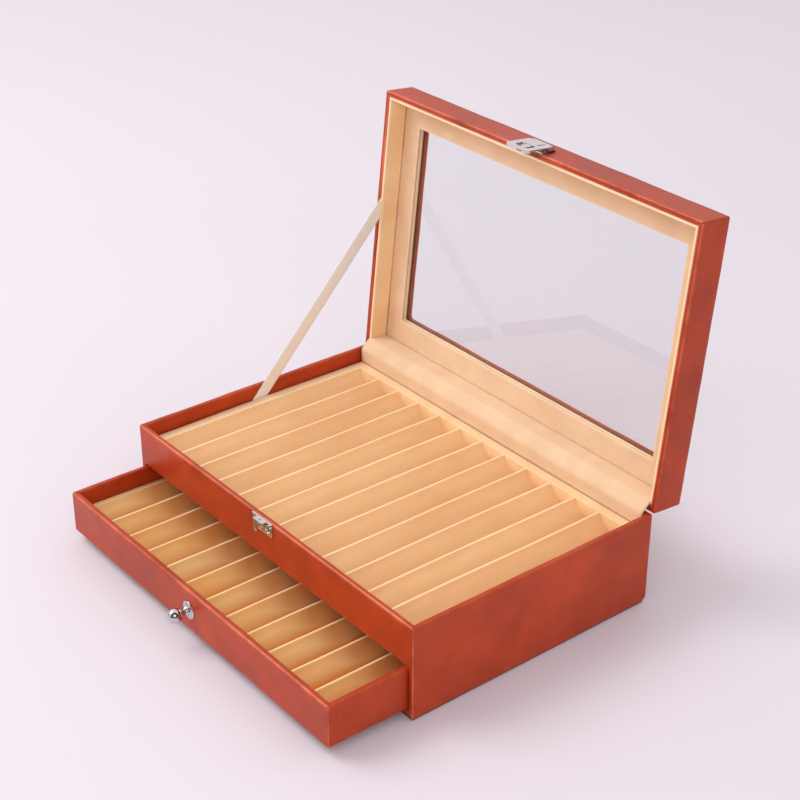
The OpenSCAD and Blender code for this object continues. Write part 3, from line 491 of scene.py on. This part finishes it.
# ---- Drawer leather ----
# The drawer is a tray of four boards, covered in the same leather with turned, mitred rims.
# It stands 62 mm out of the case; its front is half a millimetre thicker than its sides.
drawer_z = 7.5
drawer_h = 32
drawer_r = 1.4
front_share = 1.125
drawer_plan = (-155.2, -166, 155.2, 34)
drawer_profile = np.concatenate([
    quarter(1.2, 1.2, 1.2, -180)[::-1],
    [[0, z] for z in np.linspace(1.2, drawer_h - drawer_r, 10)[1:-1]],
    quarter(drawer_r, drawer_h - drawer_r, drawer_r, 90)[::-1],
    [[1.9, drawer_h - 0.07], [2.4, drawer_h - 0.1]],
    quarter(board - 1.1, drawer_h - 1.1, 1.1, 0)[::-1],
    [[board, z] for z in (26, 21, 12, 0)],
    [[1.2, 0]]]) + [0, drawer_z]
drawer_walls = uneven(wall_ring(drawer_profile, drawer_plan, 1.6, front=front_share), waves)
drawer_marks = rim_marks(drawer_profile, drawer_r)
drawer_leather = shaped("drawer_leather", [(drawer_walls, True, False, drawer_marks)], leather)
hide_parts("drawer_front", "drawer_left_side", "drawer_right_side", "drawer_back")
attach(drawer_leather, "drawer")
refinish("drawer_bottom", leather)


# ---- Lid leather ----
# The lid is a shallow frame in one sheet of leather: in round the rim, up the sides, over the
# top board and down into the window as far as the glass. It leans back 6 degrees past upright.
lean = math.radians(96)
hinge_y, hinge_z = 105, 71.2
lid_gap = 0.9         # from the hinge line up to the closed lid's rim
lid_h = 27
crown_r = 3           # rounded edges of the lid's top
window_side = 22.9    # from the outside in to the window
window_end = 25.4
window_r = 4
window_steps = 8      # rings over the top board, from the lid's edge to the window's


def opened(grid):
    """Turns points of the closed lid, whose height is counted from its rim, about the hinge line
    to the open lid."""
    y, z = grid[..., 1] - hinge_y, grid[..., 2] + lid_gap
    return np.stack([grid[..., 0], hinge_y + math.cos(lean) * y + math.sin(lean) * z,
                     hinge_z - math.sin(lean) * y + math.cos(lean) * z], -1)


def inset_ring(dx, dy, z, r):
    """A ring that lies dx inside the lid's sides and dy inside its front and back."""
    return ring(-half_w + dx, -half_d + dy, half_w - dx, half_d - dy, r, z)


lid_profile = np.concatenate([
    [[board, z] for z in (14, 9, 5)],
    quarter(board - rim_r, rim_r, rim_r, -90)[::-1],
    [[2.4, 0.08], [2.0, 0.12], [1.6, 0.08]],
    quarter(rim_r, rim_r, rim_r, -180)[::-1],
    [[0, z] for z in np.linspace(rim_r, lid_h - crown_r, 8)[1:-1]],
    quarter(crown_r, lid_h - crown_r, crown_r, 90, 8)[::-1]])
lid_walls = wall_ring(lid_profile, (-half_w, -half_d, half_w, back_y), fold_r, back=back_share)
lid_top = [inset_ring(crown_r + (window_side - crown_r) * t, crown_r + (window_end - crown_r) * t,
                      lid_h, 0.2 + (window_r - 0.2) * t)
           for t in np.linspace(0, 1, window_steps + 1)[1:]]
for turn in np.radians([22, 45, 68, 90]):
    fall, run = 1 - math.cos(turn), math.sin(turn)
    lid_top.append(inset_ring(window_side + run, window_end + run, lid_h - fall, window_r - run))
lid_top += [inset_ring(window_side + 1, window_end + 1, z, 3) for z in (24, 22.5)]
lid_top += [inset_ring(window_side + 0.7, window_end + 0.7, 22.15, 2.7),
            inset_ring(window_side - 0.9, window_end - 0.9, 22.1, 1.5)]
lid_rings = np.concatenate([lid_walls, np.stack(lid_top)])
lid_rings = uneven(rounded(lid_rings, back_y - back_r, lid_h - back_r, back_r, 1, 1), waves)

# Edges are lightened at the rim, round the top and where the leather turns into the window, partly
# as rubbed wear and partly as painted highlight; round the top only the sides and back get it. The
# mitres are dark joints. Painted shade darkens the leather under the latch, along the front of the
# top and down the window's edge to the glass.
s, z = lid_profile[:, 0], lid_profile[:, 1]
to_rim = np.minimum(np.hypot(s, z), np.hypot(s - board, z))
crown = np.clip(1.25 - np.hypot(s, z - lid_h) / crown_r, 0, 1)
crown = np.concatenate([crown, np.zeros(len(lid_top))])[:, None]
edge = np.concatenate([np.clip(1.25 - to_rim / rim_r, 0, 1), np.zeros(window_steps),
                       [0.4, 0.6, 0.4, 0.1], np.zeros(4)])[:, None] * np.ones(around)
edge[:, :front_start] = np.maximum(edge[:, :front_start], 0.6 * crown)
joints_and_shade = np.concatenate([np.zeros(len(edge) - 4), [0.35, 0.9, 1, 1]])[:, None] * np.ones(around)
joints_and_shade[:, front_start:] = np.maximum(joints_and_shade[:, front_start:], 0.7 * crown)
for column in mitres:
    joints_and_shade[:len(s), column - 1:column + 2] = ((z < 1.1) & (s > 0.05))[:, None]
# Painted shade on the leather under the latch's flap.
under_flap = (np.clip((12 - np.abs(lid_rings[..., 0])) / 3, 0, 1)
              * np.clip((13 - lid_rings[..., 2]) / 3, 0, 1) * (lid_rings[..., 1] < -99))
joints_and_shade = np.maximum(joints_and_shade, 0.85 * under_flap)
lid_leather = shaped("lid_leather", [(opened(lid_rings), True, False, {"edge": edge, "joints_and_shade": joints_and_shade})], leather)
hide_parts("lid_left_wall", "lid_right_wall", "lid_front_wall", "lid_back_wall",
            "lid_top_frame")
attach(lid_leather, "lid")


# ---- Slotted inserts ----
# Each is one moulding faced in peach suede: a flat border round twelve long half-round slots
# that are parted by narrow soft ridges. One lies in the case and one in the drawer.
slots = 12
slot_r = 11.4
ridge = 0.9         # half a ridge's width, and how far its shoulders drop
slot_pitch = 2 * (slot_r + ridge)
insert_skirt = 3    # the edge turned down round the border

flock, ends, out = group("flock", [("Vector", "Vector"), ("Nap Scale", "Float"), ("Smudge Scale", "Float")],
                         [("Shade", "Float"), ("Height", "Float")])
nap = noise(flock, ends["Vector"], ends["Nap Scale"], 3.0, Roughness=0.7)
brushed = put(flock, "Mapping", {"Vector": ends["Vector"], "Scale": (1.0, 0.35, 1.0)}).outputs[0]
smudge = noise(flock, brushed, ends["Smudge Scale"], 4.0, Distortion=0.8)
feed(flock, out, {"Shade": ranged(flock, mixed(flock, 0.3, smudge, nap), 0.38, 0.62), "Height": nap})


def suede_finish(name, low, high, shade_tint):
    """Short-napped suede between two tints, with a soft sheen. It turns to the third tint, painted
    shade, where its shade mark is, and paler, a painted highlight, on the edge mark."""
    made, tree, shader = material(name)
    where = put(tree, "TexCoord").outputs["Object"]
    skin = put(tree, "Group", {"Vector": where, "Nap Scale": 1500.0, "Smudge Scale": 34.0},
               node_tree=flock).outputs
    tint = mixed(tree, skin["Shade"], low, high)
    # Painted shade: where the shade mark is, the suede turns to its third tint.
    tint = mixed(tree, mark(tree, "painted_shade"), tint, shade_tint)
    # Painted highlight: the edge mark lightens ridge tops and turned edges toward pale cream.
    tint = mixed(tree, maths(tree, "MULTIPLY", mark(tree, "edge"), 0.42), tint, (0.98, 0.80, 0.56, 1))
    # Dark joints along the joint mark.
    tint = mixed(tree, maths(tree, "MULTIPLY", mark(tree, "joints_and_shade"), 0.55), tint, (0.20, 0.08, 0.03, 1))
    lift = put(tree, "Bump", {"Height": skin["Height"], "Strength": 0.35, "Distance": 0.0003})
    feed(tree, shader, {
        "Base Color": tint,
        "Normal": lift.outputs[0],
        "Roughness": 0.92,
        "Specular IOR Level": 0.15,
        "Sheen Weight": 0.25,
        "Sheen Roughness": 0.45})
    return made


# Each suede's third tint is its painted shade; in the drawer it is a deep red-brown that also stands for the
# case's shadow.
suede = suede_finish("suede", (0.90, 0.60, 0.33, 1), (0.98, 0.71, 0.415, 1), (0.76, 0.42, 0.18, 1))
deep_suede = suede_finish("deep_suede", (1.0, 0.65, 0.25, 1), (1.0, 0.77, 0.38, 1), (0.62, 0.16, 0.012, 1))


def slotted(side, y0, y1, slot_y0, slot_y1, top, away):
    """A slotted moulding as one grid, and its marks. Across: a flat-topped ridge with rounded
    shoulders, then a half circle under each slot. Along: a share of that depth, from 0 on the
    border to 1 in the slot, over a small lip and a steep end wall. The edge mark is a painted
    highlight on the ridges' tops. The mark of painted shade darkens the slots' bottoms, and grows to
    the away value between 22 and 49 mm from each slot's front end, as the case's painted shadow."""
    shoulder = np.array([-0.9, -0.9, -0.86, -0.7, 0, 0.7, 0.86, 0.9, 0.9])
    fall = np.array([ridge, 0.42, 0.14, 0.02, 0, 0.02, 0.14, 0.42, ridge])
    # The painted highlight along each ridge's flat top.
    pale = np.array([0, 0, 0.2, 0.8, 1, 0.8, 0.2, 0, 0])
    bowl = np.radians(np.linspace(180, 360, 31))[1:-1]
    # Painted shade across each slot: none high on its walls, full at its bottom.
    bowl_shade = np.interp(np.degrees(bowl), [180, 208, 236, 262, 278, 304, 332, 360],
                           [0, 0.04, 0.45, 0.95, 0.95, 0.45, 0.04, 0])
    xs, drops, crests, sunk = [], [], [], []
    for k in range(slots + 1):
        part = slice(4 if k == 0 else 0, 5 if k == slots else 9)
        xs.append((k - slots / 2) * slot_pitch + shoulder[part])
        drops.append(fall[part])
        crests.append(pale[part])
        sunk.append(np.zeros(len(pale[part])))
        if k < slots:
            xs.append((k - (slots - 1) / 2) * slot_pitch + slot_r * np.cos(bowl))
            drops.append(ridge - slot_r * np.sin(bowl))
            crests.append(np.zeros(len(bowl)))
            sunk.append(bowl_shade)
    border = np.linspace(-side, xs[0][0], 5)[:-1]
    x = np.concatenate([[-side], border, *xs, -border[::-1], [side]])
    drop = np.concatenate([[insert_skirt], np.zeros(4), *drops, np.zeros(4), [insert_skirt]])
    crest = np.concatenate([np.zeros(5), *crests, np.zeros(5)])
    low = np.concatenate([np.zeros(5), *sunk, np.zeros(5)])

    # The lip and end wall of a slot, as (distance past its end, share of the depth).
    lip = np.array([[-1.3, 0], [-0.4, 0], [-0.16, 0.006], [-0.04, 0.018], [0, 0.04], [0.02, 0.1],
                    [0.03, 0.35], [0.05, 0.7], [0.08, 0.88], [0.2, 0.955], [0.45, 0.987], [0.9, 1.0],
                    [1.7, 1.0]])
    along = np.linspace(slot_y0 + 1.7, slot_y1 - 1.7, 40)[1:-1]
    y = np.concatenate([[y0, y0, y0 + 2, slot_y0 - 3], slot_y0 + lip[:, 0], along,
                        slot_y1 - lip[::-1, 0], [slot_y1 + 3, y1 - 2, y1, y1]])[:, None]
    share = np.concatenate([np.zeros(4), lip[:, 1], np.ones(len(along)), lip[::-1, 1], np.zeros(4)])[:, None]

    outermost = np.arange(len(x)) % (len(x) - 1) == 0
    depth = np.where(outermost, float(insert_skirt), drop * share)
    depth[[0, -1]] = np.maximum(depth[[0, -1]], insert_skirt)
    inside = (np.abs(x) < side - 0.01) | (drop < 1)
    gx = x + 0.25 * np.sin(y / 31 + x / 19) * (depth < 11) * inside
    gz = top - depth + 0.12 * np.sin(gx / 37 + y / 23) * (depth < 2.9)
    # The case's painted shadow over the slots' back ends, growing from 22 to 49 mm past their front ends.
    painted_case_shadow = np.interp(y, [slot_y0 + 22, slot_y0 + 38, slot_y0 + 49], [0, 0.4, 1])
    shade = np.maximum(low, away * (1 - crest) * painted_case_shadow)
    return (np.stack([gx, np.broadcast_to(y, gx.shape), gz], -1),
            {"edge": crest * share, "painted_shade": shade * share ** 2})


# The last number is how strongly the case's shadow is painted into the slots: not in the tray, 0.65 in the
# drawer.
tray_grid = slotted(155.1, -99.7, 99.7, -91.5, 91.0, 60.4, 0.0)
drawer_grid = slotted(150.9, -161.2, 29.7, -153.0, 21.0, 25.9, 0.65)
for name, body, replaced, finish, (grid, marks) in (
        ("tray_suede", "case", "tray_insert", suede, tray_grid),
        ("drawer_suede", "drawer", "drawer_insert", deep_suede, drawer_grid)):
    moulding = shaped(name, [(grid, False, False, marks)], finish)
    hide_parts(replaced)
    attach(moulding, body)


# ---- Lid liner and window panel ----
# Strips of suede-covered card stand inside the lid's rim, a suede sheet frames the window, and
# a paler frame behind it holds the glass.
pale_suede = suede_finish("pale_suede", (0.81, 0.55, 0.345, 1), (0.88, 0.625, 0.405, 1), (0.7, 0.42, 0.2, 1))
liner_profile = np.concatenate([
    [[4.15, 6.0], [4.15, 1.1]],
    quarter(4.65, 1.0, 0.5, -180, 4),
    [[5.2, 0.45]],
    quarter(5.7, 1.0, 0.5, -90, 5),
    [[6.2, z] for z in (3, 6, 9, 12, 15, 16.2, 16.6)]])
liner_rings = uneven(wall_ring(liner_profile, (-half_w, -half_d, half_w, half_d), 0.03)[::-1], waves)
# Painted highlight on the liner's rounded lip; dark joints at its foot by the panel and at its mitres.
liner_seam = np.interp(np.arange(len(liner_profile)), [0, 1.2, 2], [1, 1, 0])[:, None] * np.ones(around)
liner_edge = np.interp(liner_profile[::-1, 1], [0.4, 0.9, 1.6], [1, 0.8, 0])[:, None] * np.ones(around)
liner_seam[:, mitres] = 1
liner_edge[:, mitres] = 0
liner_marks = {"joints_and_shade": liner_seam, "edge": liner_edge}
lid_liner = shaped("lid_liner", [(opened(liner_rings), True, False, liner_marks)], suede)
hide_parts("lid_liner_left", "lid_liner_right", "lid_liner_front", "lid_liner_back")
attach(lid_liner, "lid")


def window_sheet(name, steps, finish):
    """A sheet round the window from rings (inset at the sides, inset at the ends, height, corner,
    seam, edge). The last two mark its dark joints and its painted highlight."""
    rings = np.stack([inset_ring(*step[:4]) for step in steps])
    joints_and_shade, edge = (np.array([step[k] for step in steps], float)[:, None] for k in (4, 5))
    return shaped(name, [(opened(uneven(rings, waves)), True, False, {"joints_and_shade": joints_and_shade, "edge": edge})], finish)


# The panel's edge at the window turns over softly, and the panel runs from it out to the liner.
panel_side, panel_end = 23, 25.5
panel_z = 16.5
panel_r = 0.45
card_in = 7.2
at_window = ((17.95, 1, 0), (17.6, 0, 0), (panel_z + panel_r, 0, 0.2))
steps = [(panel_side, panel_end, z, 1.5, joints_and_shade, edge) for z, joints_and_shade, edge in at_window]
for turn in np.radians([30, 60, 90]):
    out_by, down_by = panel_r * (1 - math.cos(turn)), panel_r * math.sin(turn)
    steps.append((panel_side - out_by, panel_end - out_by, panel_z + panel_r - down_by, 1.5, 0, 0.8))
from_side, from_end = panel_side - panel_r, panel_end - panel_r
for t in np.linspace(0.06, 1, 7):
    steps.append((from_side - (from_side - card_in) * t, from_end - (from_end - card_in) * t, panel_z,
                  1.5 - 1.2 * t, 0, 0))
steps += [(6.7, 6.7, panel_z, 0.2, 0, 0), (6.25, 6.25, panel_z, 0.1, 1, 0)]
lid_panel = window_sheet("lid_panel", steps, pale_suede)
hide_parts("lid_inner_panel")
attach(lid_panel, "lid")

# The glazing strip lies between the panel and the glass, and shows a hair past the panel's edge.
strip = ((0.6, 20.75, 1, 0), (0.15, 20.6, 0.6, 0), (0.05, 20.2, 0, 1), (0.05, 18.7, 0, 1),
         (0.1, 18.35, 0, 0.4), (-0.3, 18.15, 1, 0))
steps = [(panel_side + past, panel_end + past, z, 1.4, joints_and_shade, edge) for past, z, joints_and_shade, edge in strip]
steps.append((14, 14, 18.1, 1, 0, 0))
glazing = window_sheet("glazing_strip", steps, pale_suede)
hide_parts("glazing_frame")
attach(glazing, "lid")


# ---- Glass ----
# A thin clear pane with a faintly uneven surface, held between the glazing strip and the lid's
# top board. Light passes it without a shadow.
glass, tree, shader = material("glass")
where = put(tree, "TexCoord").outputs["Object"]
drawn = put(tree, "Mapping", {"Vector": where, "Scale": (4.0, 1.0, 22.0), "Rotation": (0.0, 0.3, 0.0)})
film = noise(tree, drawn.outputs[0], 1.2)
swell = put(tree, "Bump", {"Height": film, "Strength": 0.02, "Distance": 0.0006})
feed(tree, shader, {
    "Base Color": (0.885, 0.895, 0.90, 1),
    "Normal": swell.outputs[0],
    "Roughness": 0.0,
    "IOR": 1.45,
    "Transmission Weight": 1.0})
shadow_ray = put(tree, "LightPath").outputs["Is Shadow Ray"]
unseen = put(tree, "BsdfTransparent").outputs[0]
passed = put(tree, "MixShader", {0: shadow_ray, 1: shader.outputs[0], 2: unseen}).outputs[0]
feed(tree, tree.nodes["Material Output"], {"Surface": passed})
refinish("glass_pane", glass)


# ---- Hinge cloth ----
# One strip of suede lines the back wall above the tray, bends across the hinges and runs on up
# the lid to the window panel, so that no hinge shows from inside.
cloth_half = 155
cloth_t = 0.0007        # metres
wall_face = 99.05       # where the cloth lies on the back wall
lid_face = 97.35        # where it lies on the closed lid's back liner
bend_reach = 2.4        # how far from a corner its bend begins
straight_from = 2.6     # where the straight points between two bends begin


def on_lid(y, height):
    """A spot (y, height) of the closed lid, after the lid is opened."""
    return opened(np.array([0, y, height]))[1:]


low_end, high_start, high_end = np.array([wall_face, hinge_z]), on_lid(lid_face, 1.0), on_lid(lid_face, 16.2)
bends = [np.array([wall_face, 60.7]), np.array([wall_face, 71.9]), on_lid(lid_face, 0.2), high_end]

# Seen from the side: straight runs between the bends, and at each bend a curve of second degree
# between two spots before and after it, with the bend itself as its control point.
run = [np.linspace(bends[0], bends[1] - [0, straight_from], 7)]
for before, here, after in zip(bends, bends[1:], bends[2:]):
    into = (here - before) / np.linalg.norm(here - before)
    onward = (after - here) / np.linalg.norm(after - here)
    t = np.linspace(0, 1, 9)[:, None]
    run.append((1 - t) ** 2 * (here - into * bend_reach) + 2 * (1 - t) * t * here
               + t ** 2 * (here + onward * bend_reach))
    if after is not high_end:
        run.append(np.linspace(here + onward * straight_from, after - onward * straight_from, 7))
run.append(np.linspace(bends[2] + onward * 2.7, high_end, 9))
run = np.concatenate(run)
length = np.concatenate([[0], np.cumsum(np.linalg.norm(np.diff(run, axis=0), axis=1))])
facing = np.gradient(run, axis=0)
facing = np.stack([facing[:, 1], -facing[:, 0]], -1) / np.linalg.norm(facing, axis=1)[:, None]

# The cloth is glued at both ends and a little slack between them, where it ripples.
x = np.linspace(-cloth_half, cloth_half, 160)[:, None]
slack = np.sin(math.pi * np.clip((length - 7) / (length[-1] - 9), 0, 1))
ripple = (0.10 * np.sin(x / 17 + length / 5) + 0.06 * np.sin(x / 6.1 - length / 3.1 + 1)
          + 0.07 * np.sin(x / 2.9 + length / 2.3)) * slack
cloth_grid = np.zeros((len(x), len(run), 3))
cloth_grid[..., 0] = x
cloth_grid[..., 1:] = run - (ripple - 0.1 * slack)[..., None] * facing
cloth_seam = np.interp(length, [0, 0.7, 1.4, length[-1] - 1, length[-1]], [0.5, 0.2, 0, 0, 0.2])


def thickened(piece, metres):
    """Gives a sheet its thickness, half on each side."""
    made = piece.modifiers.new("thickness", "SOLIDIFY")
    made.thickness = metres
    made.offset = 0.0


hinge_cloth = shaped("hinge_cloth", [(cloth_grid, False, False, {"joints_and_shade": cloth_seam})], pale_suede)
thickened(hinge_cloth, cloth_t)
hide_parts("back_lining", "hinge_strip", "lid_hinge_lining")
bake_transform(hinge_cloth)


# ---- Ribbon stay ----
# A cream satin ribbon, 10 mm wide, glued beside the tray and inside the lid's left rim. Pulled
# straight it stops the lid.
ribbon_half = 5
ribbon_t = 0.0003       # metres
ribbon_x = -155.7
glued_low, glued_high = 6.0, 7.0

satin, tree, shader = material("satin")
weave = put(tree, "UVMap", uv_map="weave").outputs[0]
warp = put(tree, "TexWave", {"Vector": weave, "Scale": 5200.0, "Distortion": 0.6, "Detail": 1.0},
           bands_direction="X")
weft = put(tree, "TexWave", {"Vector": weave, "Scale": 2400.0, "Distortion": 0.4}, bands_direction="Y")
threads = maths(tree, "ADD", warp.outputs["Fac"], weft.outputs["Fac"])
lift = put(tree, "Bump", {"Height": threads, "Strength": 0.25, "Distance": 0.0001})
feed(tree, shader, {
    "Base Color": mixed(tree, noise(tree, weave, 160.0), (0.86, 0.80, 0.71, 1), (0.94, 0.90, 0.83, 1)),
    "Normal": lift.outputs[0],
    "Roughness": 0.42,
    "Sheen Weight": 0.3,
    "Anisotropic": 0.4})

# Seen from the side the ribbon is straight. It bows a little across its width, most at the
# middle of its length, and its edges ripple.
low, high = np.array([0.5, 60.5]), on_lid(-11.5, 0.0)
along = (high - low) / np.linalg.norm(high - low)
across = np.array([-along[1], along[0]])
foot, tip = low - along * glued_low, high + along * glued_high
pull = np.linspace(0, 1, 90)[:, None]
width = np.linspace(-ribbon_half, ribbon_half, 13)
ribbon_grid = np.zeros((len(pull), len(width), 3))
ribbon_grid[..., 1:] = (foot + (tip - foot) * pull)[:, None] + width[:, None] * across
bulge = np.sin(math.pi * pull) ** 2
ribbon_grid[..., 0] = (ribbon_x + 0.5 * bulge * (1 - (width / ribbon_half) ** 2)
                       + 0.12 * np.sin(pull * 40) * (np.abs(width) / ribbon_half) ** 3 * bulge)
ribbon = shaped("stay", [(ribbon_grid, False, False, {})], satin)

# The weave's UV map measures the ribbon in metres, across and along.
corners = np.zeros(len(ribbon.data.loops), np.int64)
ribbon.data.loops.foreach_get("vertex_index", corners)
spots = np.zeros(len(ribbon.data.vertices) * 3)
ribbon.data.vertices.foreach_get("co", spots)
spots = spots.reshape(-1, 3)[:, 1:]
weave_map = ribbon.data.uv_layers.new(name="weave")
weave_map.data.foreach_set("uv", np.stack([spots @ across, spots @ along], -1)[corners].ravel())
thickened(ribbon, ribbon_t)
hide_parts("stay_ribbon")
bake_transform(ribbon)


# ---- Hinges, pins and screws ----
# Two small steel butt hinges under the back rim, with their pins and countersunk screws. The
# catch's rivets and the knob's screw are of the same steel.
touched, ends, out = group("touched", [("Vector", "Vector"), ("Scale", "Float"), ("Base", "Float")],
                           [("Roughness", "Float"), ("Height", "Float")])
smear = noise(touched, ends["Vector"], ends["Scale"], 4.0, Distortion=1.2)
stretch = put(touched, "Mapping", {"Vector": ends["Vector"], "Scale": (1.0, 12.0, 12.0)}).outputs[0]
feed(touched, out, {
    "Roughness": maths(touched, "ADD", ranged(touched, smear, 0.35, 0.7, 0.0, 0.14), ends["Base"]),
    "Height": noise(touched, stretch, 400.0, 3.0)})


def metal_finish(name, colour, base, depth, dark_below=None):
    """Bare metal whose gloss changes where it has been handled, with faint scratches. Below the
    height dark_below, in metres, it is painted nearly black, as painted shade."""
    made, tree, shader = material(name)
    where = put(tree, "TexCoord").outputs["Object"]
    skin = put(tree, "Group", {"Vector": where, "Scale": 240.0, "Base": base}, node_tree=touched).outputs
    lift = put(tree, "Bump", {"Height": skin["Height"], "Strength": depth, "Distance": 0.00005})
    dull = tuple(0.88 * c for c in colour[:3]) + (1,)
    tint = mixed(tree, skin["Height"], colour, dull)
    if dark_below:
        up = put(tree, "SeparateXYZ", {0: where}).outputs["Z"]
        # Painted shade: below dark_below the metal turns nearly black.
        tint = mixed(tree, ranged(tree, up, dark_below, dark_below + 0.0006), (0.035, 0.028, 0.026, 1), tint)
    feed(tree, shader, {
        "Base Color": tint,
        "Roughness": skin["Roughness"],
        "Normal": lift.outputs[0],
        "Metallic": 1.0})
    return made


steel = metal_finish("steel", (0.58, 0.57, 0.56, 1), 0.28, 0.25)
for name in ("case_hinge_leaf_left", "case_hinge_leaf_right", "case_hinge_screws", "hinge_pin_left",
             "hinge_pin_right", "lid_hinge_leaf_left", "lid_hinge_leaf_right", "lid_hinge_screws",
             "catch_rivets", "knob_screw"):
    refinish(name, steel)


# ---- Latch and catch ----
# A chromed sheet-metal flap on the lid's front edge and its catch on the case. The bracket under
# the flap is painted nearly black on its base plate, as the shade under the flap; its cheeks stay bright.
bright = (0.66, 0.65, 0.66, 1)
plate_face = 0.2785     # metres, just above the base plate's face with the lid open
chrome = metal_finish("chrome", bright, 0.05, 0.10)
shade_painted_chrome = metal_finish("shade_painted_chrome", bright, 0.12, 0.10, dark_below=plate_face)
for name in ("latch_flap", "latch_pin", "catch_bracket", "catch_stud"):
    refinish(name, chrome)
for name in ("latch_bracket", "latch_rivets"):
    refinish(name, shade_painted_chrome)


# ---- Felt glides ----
# Two strips of dark felt, glued under the drawer so that it slides quietly. Their fibres lie
# every way.
felt, tree, shader = material("felt")
fuzz = noise(tree, put(tree, "TexCoord").outputs["Object"], 1400.0, 4.0)
lift = put(tree, "Bump", {"Height": fuzz, "Strength": 0.8, "Distance": 0.0004})
feed(tree, shader, {
    "Base Color": mixed(tree, fuzz, (0.03, 0.025, 0.022, 1), (0.09, 0.075, 0.065, 1)),
    "Normal": lift.outputs[0],
    "Roughness": 0.95})
refinish("drawer_glides", felt)


# ---- Knob ----
# A turned chrome knob: a ball on a waisted neck over a domed rose, all round one axis. A screw
# from inside the drawer's front holds it.
knob_axis = (0, -166, 23.5)     # where the axis leaves the drawer's front
ball_r = 5.3
ball_at = 11                    # the ball's middle, in front of the drawer


def turned(name, profile, axis, finish):
    """Turns a profile of (radius, distance in front) about an axis that points to -Y."""
    angle = np.linspace(0, 2 * math.pi, 64, endpoint=False)
    r, d = profile[:, 0][:, None], profile[:, 1][:, None]
    grid = np.stack([axis[0] + r * np.cos(angle), axis[1] - d + 0 * angle, axis[2] + r * np.sin(angle)], -1)
    return shaped(name, [(grid, True, False, {})], finish)


arc = np.radians(np.linspace(-58, 90, 30))
knob_profile = np.concatenate([
    [[0, 1.6], [3.6, 1.6], [3.5, 2.4], [3.0, 2.9], [2.65, 3.6], [2.55, 4.6], [2.6, 5.6], [2.72, 6.3]],
    np.stack([ball_r * np.cos(arc), ball_at + ball_r * np.sin(arc)], -1)])
knob = turned("knob_ball", knob_profile, knob_axis, chrome)
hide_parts("knob")
rose_profile = np.array([[0, 0], [6.5, 0], [6.7, 0.2], [6.7, 0.5], [6.5, 0.75], [6.1, 0.9], [5.8, 0.98],
                         [5.5, 1.2], [4.9, 1.6], [4.2, 1.95], [3.4, 2.15], [2.8, 2.2], [0, 2.2]])
rose = turned("knob_plate", rose_profile, knob_axis, chrome)
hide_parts("knob_rose")
for piece in (knob, rose):
    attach(piece, "drawer")
